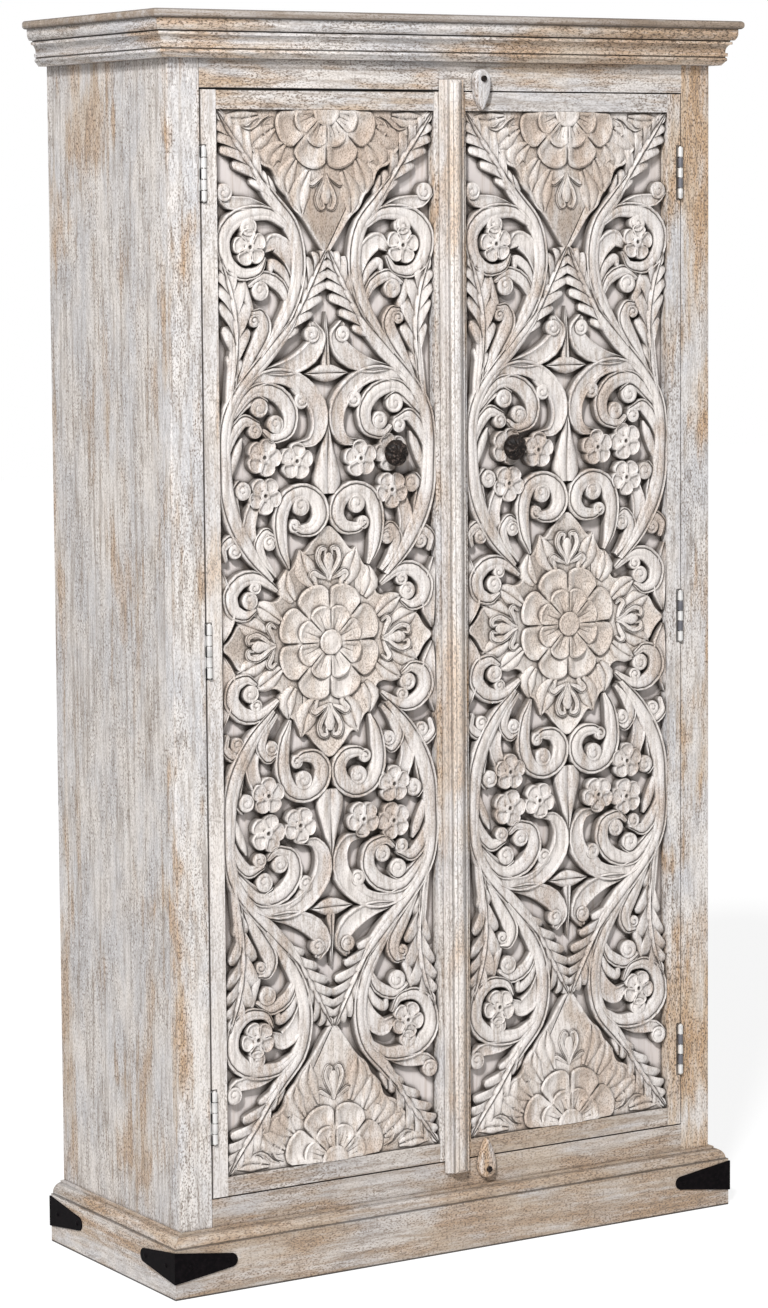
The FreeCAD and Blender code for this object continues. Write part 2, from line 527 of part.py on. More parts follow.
def make_door_frames():
    """Stiles, tenoned rails and backing board of each door."""
    hinge_stile = block(DOOR_OUTER_EDGE, PANEL_LEFT, DOOR_FRONT, DOOR_BACK, DOOR_BOTTOM, DOOR_TOP)
    meeting_stile = block(PANEL_RIGHT, DOOR_INNER_EDGE, DOOR_FRONT, DOOR_BACK, DOOR_BOTTOM, DOOR_TOP)
    rails = {"bottom": block(PANEL_LEFT, PANEL_RIGHT, DOOR_FRONT, DOOR_BACK, DOOR_BOTTOM, PANEL_BOTTOM),
             "top": block(PANEL_LEFT, PANEL_RIGHT, DOOR_FRONT, DOOR_BACK, PANEL_TOP, DOOR_TOP)}
    backing = block(PANEL_LEFT - BACKING_GROOVE, PANEL_RIGHT + BACKING_GROOVE, BACKING_FRONT, BACKING_BACK,
                    PANEL_BOTTOM - BACKING_GROOVE, PANEL_TOP + BACKING_GROOVE)
    for name, foot, head in (("bottom", DOOR_BOTTOM, PANEL_BOTTOM), ("top", PANEL_TOP, DOOR_TOP)):
        outer = tenon(PANEL_LEFT - DOOR_TENON_LENGTH, PANEL_LEFT, DOOR_FRONT, CARVING_DEPTH,
                      DOOR_TENON_THICKNESS, foot, head, DOOR_TENON_SHOULDER)
        inner = tenon(PANEL_RIGHT, PANEL_RIGHT + DOOR_TENON_LENGTH, DOOR_FRONT, CARVING_DEPTH,
                      DOOR_TENON_THICKNESS, foot, head, DOOR_TENON_SHOULDER)
        rails[name] = rails[name].fuse([outer, inner]).cut(backing).removeSplitter()
        hinge_stile = hinge_stile.cut(outer)
        meeting_stile = meeting_stile.cut(inner)
    for centre in HINGE_CENTRES:
        half = HINGE_LENGTH / 2 + HINGE_CLEARANCE
        well = rod(KNUCKLE_RADIUS + HINGE_CLEARANCE, Vector(HINGE_X, HINGE_Y, centre - half),
                   Vector(HINGE_X, HINGE_Y, centre + half))
        hinge_stile = hinge_stile.cut([well, door_leaf_plate(centre)])
    pieces = {"hinge_stile": hinge_stile.cut(backing), "meeting_stile": meeting_stile.cut(backing),
              "top_rail": rails["top"], "bottom_rail": rails["bottom"],
              "backing_board": backing.cut(knob_hole())}
    for name, piece in pieces.items():
        save(f"left_door_{name}", piece)
        save(f"right_door_{name}", mirrored(piece))


def panel_point(u_share, v_share):
    """A point of the carving, measured from the middle of the panel, on the backing board."""
    return Vector(u_share * PANEL_HALF_WIDTH, 0, v_share * PANEL_HALF_HEIGHT)


def flat_prism(points, height):
    """A flat-topped form on a ring of gouge cuts."""
    return Part.Face(closed(points)).extrude(FRONT * height)


def scroll(shares, height):
    """A tapering scroll or leaf, cut in facets along a smooth spine, shorter where it turns sharply."""
    spine_points = [panel_point(u, v) for u, v, width in shares]
    spine = Part.BSplineCurve()
    spine.interpolate(spine_points)
    stops = [spine.parameter(point) for point in spine_points]
    last = len(shares) - 1
    stations = []
    for span in range(last):
        turn = spine.tangent(stops[span])[0].getAngle(spine.tangent(stops[span + 1])[0])
        cuts = max(1, round(turn / FACET_TURN))
        stations += [(span, cut / cuts) for cut in range(cuts)]
    stations.append((last - 1, 1.0))
    near_side = []
    far_side = []
    for span, part_share in stations:
        parameter = stops[span] + (stops[span + 1] - stops[span]) * part_share
        width_share = shares[span][2] + (shares[span + 1][2] - shares[span][2]) * part_share
        along = spine.tangent(parameter)[0]
        across = Vector(along.z, 0, -along.x) * (width_share * PANEL_HALF_WIDTH / 2)
        near_side.append(spine.value(parameter) + across)
        far_side.append(spine.value(parameter) - across)
    return flat_prism(near_side + far_side[::-1], height)


def petal_ring(centre, tip_radius, height):
    """One ring of a rosette: equal round petals that meet in notches."""
    edges = []
    for k in range(ROSETTE_PETALS):
        spots = []
        for turn_share, radius_share in zip(PETAL_TURN_SHARES, (PETAL_NOTCH_SHARE, 1.0, PETAL_NOTCH_SHARE)):
            angle = 2 * math.pi * (k + turn_share) / ROSETTE_PETALS
            spots.append(centre + Vector(math.cos(angle), 0, math.sin(angle)) * (tip_radius * radius_share))
        edges.append(Part.Arc(*spots).toShape())
    return Part.Face(Part.Wire(edges)).extrude(FRONT * height)


def flower(centre):
    """A small flower in plan, its petals cut with three strokes each."""
    points = []
    for k in range(FLOWER_PETALS):
        for turn_share, radius_share in ((0.0, FLOWER_NOTCH_SHARE), (PETAL_SHOULDER_SHARE, 1.0),
                                         (1.0 - PETAL_SHOULDER_SHARE, 1.0)):
            angle = 2 * math.pi * (k + turn_share) / FLOWER_PETALS
            way = Vector(math.cos(angle), 0, math.sin(angle))
            points.append(centre + way * (FLOWER_RADIUS * radius_share))
    return flat_prism(points, FLOWER_HEIGHT)


def scalloped(corner, edge_shares):
    """A quarter or half medallion: two straight sides from a corner and an edge of leaf tips."""
    return flat_prism([corner] + [panel_point(u, v) for u, v in edge_shares], MEDALLION_HEIGHT)


def rosette(centre):
    """Two rings of petals round a button."""
    outer = petal_ring(centre, OUTER_PETAL_RADIUS, OUTER_PETAL_HEIGHT)
    inner = petal_ring(centre, INNER_PETAL_RADIUS, INNER_PETAL_HEIGHT)
    button = rod(ROSETTE_BUTTON_RADIUS, centre, centre + FRONT * (INNER_PETAL_HEIGHT + ROSETTE_BUTTON_RISE))
    return [outer, inner, button]


def carved_panel():
    """One door's openwork carving about the middle of the panel, standing on the backing board."""
    quarter = [scroll(shares, SCROLL_HEIGHT) for shares in [*SCROLL_SHARES.values(), *LEAF_SHARES.values()]]
    quarter += [flower(panel_point(*place)) for place in FLOWER_PLACE_SHARES]
    quarter += [scalloped(ORIGIN, MEDALLION_EDGE_SHARES), scalloped(panel_point(0, 1), GABLE_EDGE_SHARES),
                scroll(POD_SHARES, SCROLL_HEIGHT)]
    quarter += rosette(ORIGIN) + rosette(panel_point(0, 1))
    bounds = block(0, PANEL_HALF_WIDTH, -CARVING_DEPTH - ROSETTE_BUTTON_RISE, 0, 0, PANEL_HALF_HEIGHT)
    quarter_solid = quarter[0].multiFuse(quarter[1:]).common(bounds)
    upper = quarter_solid.fuse(quarter_solid.mirror(ORIGIN, RIGHT))
    whole = upper.fuse(upper.mirror(ORIGIN, UP))
    return whole.removeSplitter()


def knob_place():
    """Where the left door's knob stands on the carving: on a flower near the meeting stile."""
    return PANEL_CENTRE + panel_point(*KNOB_PLACE_SHARES)


def knob_hole():
    """The clearance hole of the left knob's shank, through the carving and the backing board."""
    place = knob_place()
    return rod(SHANK_RADIUS + SHANK_CLEARANCE, Vector(place.x, DOOR_FRONT - OVERRUN, place.z),
               Vector(place.x, DOOR_BACK, place.z))


def make_carvings():
    """The carved panels, set in the door frames against the backing boards."""
    panel = carved_panel()
    panel.translate(PANEL_CENTRE + BACK * BACKING_FRONT)
    left = panel.cut(knob_hole())
    save("left_door_carved_panel", left)
    save("right_door_carved_panel", mirrored(left))


def make_knobs():
    """Fluted mushroom knobs on threaded shanks, each drawn up by a nut behind the door."""
    place = knob_place()
    seat = BACKING_FRONT - FLOWER_HEIGHT
    tip = seat - KNOB_PROJECTION
    rim = seat - KNOB_NECK_LENGTH
    tail = BACKING_BACK + NUT_HEIGHT + SHANK_TAIL
    sections = [(KNOB_NECK_RADIUS, seat), (KNOB_RADIUS, rim), (KNOB_RADIUS * KNOB_CROWN_SHARE, tip)]
    rings = []
    for radius, y in sections:
        rings.append(even_ring(Vector(place.x, y, place.z), radius, KNOB_SIDES, RIGHT, UP))
    faces = [Part.Face(closed(rings[0])), Part.Face(closed(rings[-1]))]
    for near, far in zip(rings, rings[1:]):
        for k in range(KNOB_SIDES):
            after = (k + 1) % KNOB_SIDES
            faces.append(Part.Face(closed([near[k], near[after], far[after], far[k]])))
    head = Part.Solid(Part.Shell(faces))
    shank = rod(SHANK_RADIUS, Vector(place.x, rim, place.z), Vector(place.x, tail, place.z))
    knob = head.fuse(shank).removeSplitter()
    nut_ring = even_ring(Vector(place.x, BACKING_BACK, place.z), NUT_RADIUS, NUT_SIDES, RIGHT, UP)
    nut = Part.Face(closed(nut_ring)).extrude(BACK * NUT_HEIGHT).cut(shank)
    for side, place_piece in (("left", lambda shape: shape), ("right", mirrored)):
        save(f"{side}_knob", place_piece(knob))
        save(f"{side}_knob_nut", place_piece(nut))


def make_meeting_strip():
    """Moulded strip on the right door that laps over the left door and over both rails of the case."""
    half = STRIP_WIDTH / 2
    step_half = STRIP_STEP_WIDTH / 2
    crown_half = STRIP_CROWN_WIDTH / 2
    foot = DOOR_BOTTOM - STRIP_LAP
    head = DOOR_TOP + STRIP_LAP
    steps = (((half, 0),),
             ((half, STRIP_BASE),),
             ((step_half, STRIP_BASE),),
             ((step_half, STRIP_STEP),),
             ((crown_half, STRIP_STEP),),
             ((0, STRIP_PROUD), (-crown_half, STRIP_STEP)),
             ((-step_half, STRIP_STEP),),
             ((-step_half, STRIP_BASE),),
             ((-half, STRIP_BASE),),
             ((-half, 0),))
    profile = outline((-half, 0), steps, lambda x, out: Vector(x, DOOR_FRONT - out, foot))
    strip = profile.extrude(UP * (head - foot))
    edge = -half - OVERRUN
    lap = block(edge, DOOR_INNER_EDGE, DOOR_FRONT - STRIP_RELIEF, DOOR_FRONT + OVERRUN, foot, head)
    front = DOOR_FRONT - STRIP_PROUD
    for end, inward in ((foot, STRIP_BEVEL), (head, -STRIP_BEVEL)):
        corners = [Vector(edge, front, end), Vector(edge, front, end + inward),
                   Vector(edge, front + abs(inward), end)]
        strip = strip.cut(Part.Face(closed(corners)).extrude(RIGHT * (STRIP_WIDTH + 2 * OVERRUN)))
    save("meeting_strip", strip.cut(lap))


def button_pivot(name):
    """Where a turn button is screwed to its rail, on the face of the case."""
    if name == "top":
        return Vector(BUTTON_X, CASE_FRONT, OPENING_TOP + BUTTON_RAIL_OFFSET)
    return Vector(BUTTON_X, CASE_FRONT, OPENING_BOTTOM - BUTTON_RAIL_OFFSET)


def make_turn_buttons():
    """Wooden drops that turn on a screw and hold the right door shut, tips towards the door."""
    for name, towards_door in (("top", -1), ("bottom", 1)):
        pivot = button_pivot(name)
        front = CASE_FRONT - BUTTON_STANDOFF - BUTTON_THICKNESS
        one_side = list(BUTTON_EDGE_SHARES)
        other_side = [(-across, along) for across, along in BUTTON_EDGE_SHARES[-2:0:-1]]
        corners = []
        for across, along in one_side + other_side:
            corners.append(pivot + Vector(across * BUTTON_HALF_WIDTH, -BUTTON_STANDOFF,
                                          towards_door * along * BUTTON_LENGTH))
        hole = rod(BUTTON_SCREW_RADIUS + BUTTON_SCREW_CLEARANCE,
                   Vector(pivot.x, front - OVERRUN, pivot.z), pivot)
        save(f"{name}_turn_button", flat_prism(corners, BUTTON_THICKNESS).cut(hole))
        head = front - BUTTON_SCREW_HEAD_GAP
        shank = rod(BUTTON_SCREW_RADIUS, Vector(pivot.x, CASE_FRONT + BUTTON_SCREW_DEPTH, pivot.z),
                    Vector(pivot.x, head, pivot.z))
        cap = rod(BUTTON_HEAD_SEAT_RADIUS, Vector(pivot.x, head, pivot.z),
                  Vector(pivot.x, head - BUTTON_SCREW_HEAD_HEIGHT, pivot.z))
        save(f"{name}_button_screw", shank.fuse(cap).removeSplitter())


os.makedirs("parts", exist_ok=True)
make_top()
make_plinth()
make_brackets()
make_face_frame()
make_carcass()
make_hinges()
make_door_frames()
make_carvings()
make_knobs()
make_meeting_strip()
make_turn_buttons()
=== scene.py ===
"""Looks of the carved two-door cupboard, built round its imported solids.

Metres in the scene; the carving is laid out in millimetres from the middle of a door panel.
"""
import math

import bpy
import numpy as np
from mathutils import Matrix, Vector


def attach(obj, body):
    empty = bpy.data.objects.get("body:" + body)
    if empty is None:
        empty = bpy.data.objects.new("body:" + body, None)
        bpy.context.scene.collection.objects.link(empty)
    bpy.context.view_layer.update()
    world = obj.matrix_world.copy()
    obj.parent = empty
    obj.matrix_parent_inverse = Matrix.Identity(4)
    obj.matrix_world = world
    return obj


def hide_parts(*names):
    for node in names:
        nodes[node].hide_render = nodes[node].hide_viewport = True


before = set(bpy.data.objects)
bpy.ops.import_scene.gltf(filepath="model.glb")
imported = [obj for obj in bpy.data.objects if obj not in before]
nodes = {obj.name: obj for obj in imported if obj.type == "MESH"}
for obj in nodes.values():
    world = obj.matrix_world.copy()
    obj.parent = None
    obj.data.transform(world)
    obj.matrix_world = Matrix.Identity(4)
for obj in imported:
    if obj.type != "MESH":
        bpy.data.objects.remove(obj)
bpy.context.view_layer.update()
scene = bpy.context.scene

MM = 0.001
TWO_PI = 2 * math.pi

# Where the panels lie, in millimetres
PANEL_X = 206.0
PANEL_Z = 912.0
PANEL_HALF_WIDTH = 179.0
PANEL_HALF_HEIGHT = 753.0
# Hinges: the pins' place and the gains cut for them in the doors, outlined in painted shade
HINGE_X = 407.0
HINGE_Y = -165.0
HINGE_CENTRES = (248.0, 912.0, 1576.0)
HINGE_HALF = 38.0
GAIN_X = 401.9
GAIN_HALF = 39.8
GAIN_SIDE_LINE = 1.1
GAIN_END_LINE = 0.9
# The gap over the left door, painted as a broad dark line of shade
DOOR_SEAM = 1693.0
SEAM_HALF = 2.5
# Painted shadow lines along the plinth, its foot included, and under the top slab: height, half width and
# strength
PLINTH_LINES = ((0.0, 3.2, 0.85), (72.0, 1.5, 0.60), (86.5, 1.3, 0.28))
SLAB_LINES = ((1800.0, 2.4, 0.45), (1788.0, 1.8, 0.55))
# Cuts along the meeting strip, drawn as a bump with painted shade in each: place across and half width
STRIP_REEDS = ((-9.8, 1.0), (-5.5, 0.7), (4.5, 0.8), (9.8, 1.0))
# The face of the backing board, and how high the plates of the medallion and the gables stand on it
BACKING_Y = -146.5
MEDALLION_HEIGHT = 9.6
GABLE_HEIGHT = 12.4


def arithmetic(operation, swapped=False):
    """A method that joins two shader values."""

    def joined(self, other):
        first, second = (other, self) if swapped else (self, other)
        return self.finish.node("ShaderNodeMath", {"operation": operation}, {0: first, 1: second})

    return joined


class Wire:
    """A shader value that takes part in plain arithmetic."""

    def __init__(self, finish, socket):
        self.finish = finish
        self.socket = socket

    __add__ = arithmetic("ADD")
    __radd__ = arithmetic("ADD", True)
    __sub__ = arithmetic("SUBTRACT")
    __rsub__ = arithmetic("SUBTRACT", True)
    __mul__ = arithmetic("MULTIPLY")
    __truediv__ = arithmetic("DIVIDE")
    over = arithmetic("MAXIMUM")
    under = arithmetic("MINIMUM")

    def __abs__(self):
        return self.finish.node("ShaderNodeMath", {"operation": "ABSOLUTE"}, {0: self})

    def ramp(self, low, high):
        """0 below low, 1 above high, smooth between."""
        return self.finish.node("ShaderNodeMapRange", {"interpolation_type": "SMOOTHSTEP"},
                                {"Value": self, "From Min": low, "From Max": high})


class Finish:
    """One procedural material, or the world, mixed step by step."""

    def __init__(self, name, kind=bpy.data.materials):
        self.material = kind.new(name)
        self.material.use_nodes = True
        self.tree = self.material.node_tree
        self.tree.nodes.clear()
        coordinates = self.tree.nodes.new("ShaderNodeTexCoord")
        self.place = Wire(self, coordinates.outputs["Object"])
        self.facing = Wire(self, coordinates.outputs["Normal"])
        self.colour = None

    def node(self, kind, settings, inputs, output=0):
        """Adds a node, sets it up, feeds its sockets and gives one of its outputs."""
        made = self.tree.nodes.new(kind)
        for key, value in settings.items():
            setattr(made, key, value)
        for key, value in inputs.items():
            if isinstance(value, Wire):
                self.tree.links.new(value.socket, made.inputs[key])
            else:
                made.inputs[key].default_value = value
        return Wire(self, made.outputs[output])

    def axes(self, vector):
        """The three parts of a place or a direction, as numbers."""
        split = self.tree.nodes.new("ShaderNodeSeparateXYZ")
        self.tree.links.new(vector.socket, split.inputs[0])
        return [Wire(self, split.outputs[k]) for k in range(3)]

    def stretched(self, x, y, z):
        """The place, scaled along each axis."""
        return self.node("ShaderNodeVectorMath", {"operation": "MULTIPLY"}, {0: self.place, 1: (x, y, z)})

    def noise(self, place, scale, detail=2.0, roughness=0.5, distortion=0.0):
        return self.node("ShaderNodeTexNoise", {}, {"Vector": place, "Scale": scale, "Detail": detail,
                                                    "Roughness": roughness, "Distortion": distortion})

    def grained(self, grain, share, *noise):
        """Noise drawn out along the grain."""
        return self.noise(self.stretched(*[share if axis == grain else 1.0 for axis in "xyz"]), *noise)

    def blend(self, share, first, second):
        """From the first colour to the second."""
        return self.node("ShaderNodeMix", {"data_type": "RGBA"}, {0: share, 6: first, 7: second}, 2)

    def lay(self, share, colour):
        """Lays a colour over what is there so far."""
        self.colour = self.blend(share, self.colour, colour)

    def openness(self, reach, samples):
        """1 on free faces, less in hollows, looking as far as the reach."""
        return self.node("ShaderNodeAmbientOcclusion", {"samples": samples}, {"Distance": reach}, "AO")

    def ended(self, shader, kind="ShaderNodeOutputMaterial"):
        """Ends the material in a shader."""
        out = self.tree.nodes.new(kind)
        self.tree.links.new(shader.socket, out.inputs["Surface"])
        return self.material

    def surface(self, roughness, relief, distance, strength, **more):
        """Ends the material in one principled shader of the colour laid, shaped by the relief."""
        shape = {"Height": relief, "Distance": distance, "Strength": strength}
        normal = self.node("ShaderNodeBump", {}, shape)
        inputs = {"Base Color": self.colour, "Roughness": roughness, "Normal": normal, **more}
        return self.ended(self.node("ShaderNodeBsdfPrincipled", {}, inputs))


# Colours, linear
CHALK_WHITE = (0.735, 0.69, 0.655, 1)
COOL_WHITE = (0.585, 0.575, 0.585, 1)
WASHED_GREY = (0.36, 0.32, 0.29, 1)
HONEY_TAN = (0.52, 0.33, 0.18, 1)
PALE_TAN = (0.62, 0.50, 0.38, 1)
PORE_BROWN = (0.12, 0.082, 0.055, 1)
THREAD_GREY = (0.20, 0.165, 0.14, 1)
FLECK_WHITE = (0.77, 0.745, 0.73, 1)
# Painted shade in hollows, cuts and grooves
CREVICE_SHADE_BROWN = (0.055, 0.042, 0.033, 1)
WARM_CHALK = (0.82, 0.755, 0.70, 1)
# Near-black painted shade for gaps, slits and the steps of mouldings
GAP_SHADE_BLACK = (0.012, 0.010, 0.009, 1)
# Painted shade and grime that darken a whole piece
SHADE_AND_GRIME_BROWN = (0.22, 0.17, 0.13, 1)
CARVED_WHITES = ((0.765, 0.715, 0.68, 1), (0.69, 0.67, 0.67, 1))
CARVED_TANS = ((0.58, 0.49, 0.41, 1), (0.46, 0.32, 0.215, 1))
BACKING_WHITES = ((0.68, 0.625, 0.605, 1), (0.60, 0.55, 0.53, 1))
BACKING_STREAK = (0.40, 0.32, 0.26, 1)
WAXED_BROWNS = ((0.40, 0.25, 0.13, 1), (0.27, 0.155, 0.075, 1))
FIBRE_BROWN = (0.12, 0.07, 0.035, 1)
IRON_BLACKS = ((0.002, 0.0015, 0.002, 1), (0.007, 0.005, 0.006, 1))
KNOB_BLACKS = ((0.004, 0.0025, 0.002, 1), (0.014, 0.009, 0.007, 1))
# Light flecks on the knob, partly wear and partly painted glints
KNOB_GLINT_FLECK = (0.17, 0.125, 0.105, 1)
PAPER_WHITES = ((0.84, 0.84, 0.84, 1), (0.87, 0.87, 0.87, 1))
# How far the painted shade reaches out of hollows, in metres: on boards, on the carving and on the board
# behind it
BOARD_SHADE_REACH = 0.007
CARVING_SHADE_REACH = 0.009
BACKING_SHADE_REACH = 0.012
# Half diagonals of the medallion and of a gable, across and up, in metres
MEDALLION_REACH = (0.176, 0.172)
GABLE_REACH = (0.178, 0.196)
# Squared distances from a rosette's middle between which its own relief ends
ROSETTE_RIM = (0.0076, 0.0084)
# How much further out that relief starts on a gable than on the medallion
GABLE_STEP = GABLE_HEIGHT - 9.0
# How bright the floor looks to the camera, and how much of that covers its shading
FLOOR_GLOW = 1.16
FLOOR_COVER = 0.75


def dark_line(offset, half_width, solid):
    """1 on a line and 0 off it, fading outwards from its solid share."""
    return 1 - (abs(offset) / (half_width * MM)).ramp(solid, 1.0)


def gain_outline(across, up, centre):
    """The outline of the recess of a hinge, painted dark as the shade in its slit."""
    off_centre = abs(up - centre * MM)
    beside = dark_line(abs(across) - GAIN_X * MM, GAIN_SIDE_LINE, 0.6)
    beside = beside * (1 - (off_centre / (GAIN_HALF * MM)).ramp(0.97, 1.0))
    ends = dark_line(off_centre - GAIN_HALF * MM, GAIN_END_LINE, 0.6)
    ends = ends * (abs(across) / (GAIN_X * MM)).ramp(0.997, 1.0)
    return beside.over(ends)


def whitewashed(name, grain, wear, warm, dark=0.0, pale=0.0, reeds=(), gains=(), edges=(), seam=None):
    """Limed wood: chalky paint rubbed to tan in soft clouds, speckled with dark open pores."""
    finish = Finish(name)
    clouds = finish.grained(grain, 0.35, 6.5, 4.0, 0.62, 0.6)
    drift = finish.grained(grain, 0.45, 13.0, 4.0, 0.6, 0.3)
    lines = finish.grained(grain, 0.05, 110.0, 4.0, 0.6, 0.35)
    pores = finish.grained(grain, 0.5, 500.0, 2.0, 0.6)
    density = finish.grained(grain, 0.25, 34.0, 3.0, 0.6)
    threads = finish.grained(grain, 0.16, 300.0, 2.0, 0.7)
    wash = finish.blend(drift.ramp(0.38, 0.62), CHALK_WHITE, COOL_WHITE)
    wash = finish.blend(lines.ramp(0.47, 0.66) * 0.72, wash, WASHED_GREY)
    rubbed = (clouds * 0.62 + density * 0.22 + lines * 0.16).ramp(0.57 - 0.12 * wear, 0.67 - 0.10 * wear)
    tan = finish.blend(density.ramp(0.35, 0.65), PALE_TAN, HONEY_TAN)
    finish.colour = finish.blend(rubbed * (0.4 + 0.4 * warm), wash, tan)
    dense = density.ramp(0.36, 0.60)
    finish.lay(threads.ramp(0.52, 0.64) * (0.25 + dense * 0.35), THREAD_GREY)
    finish.lay((1 - threads).ramp(0.54, 0.64) * (0.6 - rubbed * 0.35), FLECK_WHITE)
    speck = pores.ramp(0.50, 0.61) * (0.36 + dense * 0.44 + rubbed * 0.2)
    finish.lay(speck * 0.95, PORE_BROWN)
    # Painted light: a paler copy of the wash, for pieces that stand in more light
    if pale:
        finish.lay(pale, WARM_CHALK)
    # Painted shade and grime: the whole piece darker, the more so along the grain lines
    if dark:
        finish.lay((0.5 + lines.ramp(0.25, 0.7) * 0.5) * dark, SHADE_AND_GRIME_BROWN)
    # Painted shade: darker where the surface is enclosed, in joints, creases and the steps of mouldings
    hollow = 1 - finish.openness(BOARD_SHADE_REACH, 6)
    finish.lay(hollow.ramp(0.27, 0.74) * 0.9, CREVICE_SHADE_BROWN)
    relief = lines * 0.5 + density * 0.2 - speck * 0.7
    across, _, up = finish.axes(finish.place)
    # Painted shade: a near-black line for the gap over the left door
    if seam:
        shadow = dark_line(up - seam * MM, SEAM_HALF, 0.7) * (0 - across).ramp(0.002, 0.004)
        finish.lay(shadow * 0.92, GAP_SHADE_BLACK)
    # Painted shadow lines along the plinth, its foot included, and under the top slab
    for height, half_width, share in edges:
        finish.lay(dark_line(up - height * MM, half_width, 0.5) * share, GAP_SHADE_BLACK)
    # Painted shade in the slit round each hinge's recess
    for centre in gains:
        finish.lay(gain_outline(across, up, centre) * 0.95, GAP_SHADE_BLACK)
    # Each cut is a bump with painted shade laid in it
    for middle, half_width in reeds:
        cut = dark_line(across - middle * MM, half_width, 0.35)
        finish.lay(cut * 0.5, CREVICE_SHADE_BROWN)
        relief = relief - cut * 2.0
    return finish.surface(0.66 + lines * 0.22, relief, 0.0006, 0.55)


def carved_whitewash(name):
    """Whitewash on the carving: chalky on the high faces, tan on the medallions, darkened in the cuts and
    down the side walls as painted shade.
    """
    finish = Finish(name)
    x, y, z = finish.axes(finish.place)
    across = abs(abs(x) - PANEL_X * MM)
    up = abs(z - PANEL_Z * MM)
    from_ends = PANEL_HALF_HEIGHT * MM - up
    medallion = 1 - (across / MEDALLION_REACH[0] + up / MEDALLION_REACH[1])
    gable = 1 - (across / GABLE_REACH[0] + from_ends / GABLE_REACH[1])
    far = (across * across + up * up).under(across * across + from_ends * from_ends)
    plate_top = (BACKING_Y - MEDALLION_HEIGHT) * MM
    level = plate_top - gable.ramp(-0.04, 0.02) * (GABLE_STEP * MM)
    raised = (level - y).ramp(0.0, 0.001) * far.ramp(*ROSETTE_RIM)
    on_medallion = medallion.over(gable).ramp(-0.04, 0.10) * (1 - raised * 0.9)
    patches = finish.noise(finish.stretched(1, 0.5, 0.6), 14.0, 4.0, 0.6, 0.5)
    streaks = finish.grained("z", 0.12, 170.0, 4.0, 0.6)
    pores = finish.noise(finish.stretched(1, 0.8, 0.5), 760.0, 2.0, 0.6)
    wash = finish.blend(patches.ramp(0.35, 0.62), *CARVED_WHITES)
    wash = finish.blend(streaks.ramp(0.44, 0.68) * 0.55, wash, WASHED_GREY)
    rubbed = (patches * 0.75 + streaks * 0.25 + on_medallion * 0.06).ramp(0.43, 0.62)
    tan = finish.blend(patches.ramp(0.40, 0.70), *CARVED_TANS)
    finish.colour = finish.blend(rubbed * (0.52 + on_medallion * 0.14), wash, tan)
    finish.lay(medallion.ramp(-0.35, 0.10) * 0.30, WARM_CHALK)
    speck = pores.ramp(0.48, 0.62) * (0.3 + rubbed * 0.5)
    finish.lay(speck * 0.75, PORE_BROWN)
    # Painted shade: darker in hollows, low down in the cuts and on the side walls of the strokes
    hollow = 1 - finish.openness(CARVING_SHADE_REACH, 8)
    depth = (y - BACKING_Y * MM) / MM
    wall = 1 - abs(finish.axes(finish.facing)[1]).ramp(0.10, 0.55)
    deep = depth.ramp(-6.5, 0.0).over(wall * depth.ramp(-13.5, -7.0) * 0.85)
    painted_crevice_shade = (hollow.ramp(0.10, 0.52) * 0.92).over(deep * 0.92)
    finish.lay(painted_crevice_shade, CREVICE_SHADE_BROWN)
    chisel = finish.noise(finish.place, 85.0, 3.0, 0.6, 0.4)
    relief = streaks * 0.6 - speck * 0.5 + chisel * 2.6
    return finish.surface(0.68 + streaks * 0.2, relief, 0.0005, 0.5)


def backing_whitewash(name):
    """The board behind the carving: thin matt wash, darkened near the scrolls as painted shade."""
    finish = Finish(name)
    patches = finish.grained("z", 0.3, 11.0, 3.0, 0.6)
    streaks = finish.grained("z", 0.06, 130.0, 3.0, 0.6)
    finish.colour = finish.blend(patches.ramp(0.35, 0.65), *BACKING_WHITES)
    finish.lay(streaks.ramp(0.48, 0.7) * 0.5, BACKING_STREAK)
    # Painted shade: darker close to the carving that stands over the board
    hollow = 1 - finish.openness(BACKING_SHADE_REACH, 8)
    finish.lay(hollow.ramp(0.16, 0.50) * 0.98, CREVICE_SHADE_BROWN)
    return finish.surface(0.8 + streaks * 0.1, streaks, 0.0004, 0.4)


def plain_wood(name, grain):
    """Unpainted wood inside the case: waxed, warm, with fine grain."""
    finish = Finish(name)
    rings = finish.grained(grain, 0.05, 38.0, 4.0, 0.6, 0.6)
    fibres = finish.grained(grain, 0.05, 300.0, 3.0, 0.6)
    finish.colour = finish.blend(rings.ramp(0.3, 0.7), *WAXED_BROWNS)
    finish.lay(fibres.ramp(0.5, 0.75) * 0.6, FIBRE_BROWN)
    return finish.surface(0.5 + fibres * 0.25, fibres, 0.0004, 0.4)


def forged_iron(name):
    """Matt black iron with a faint hammered skin."""
    finish = Finish(name)
    skin = finish.noise(finish.place, 160.0, 4.0, 0.6)
    dents = finish.noise(finish.place, 45.0, 2.0)
    finish.colour = finish.blend(skin.ramp(0.4, 0.75), *IRON_BLACKS)
    relief = dents * 0.7 + skin * 0.3
    return finish.surface(0.55 + skin * 0.2, relief, 0.0008, 0.5, **{"Specular IOR Level": 0.05})


def bright_steel(name, tone):
    """Plated steel with fine scratches and a little tarnish."""
    finish = Finish(name)
    scratches = finish.grained("z", 0.05, 900.0, 2.0)
    tarnish = finish.noise(finish.place, 60.0, 3.0)
    dull = tuple(0.7 * t for t in tone) + (1,)
    finish.colour = finish.blend(tarnish.ramp(0.5, 0.75), tone + (1,), dull)
    return finish.surface(0.30 + scratches * 0.2, scratches, 0.0002, 0.3, Metallic=0.6)


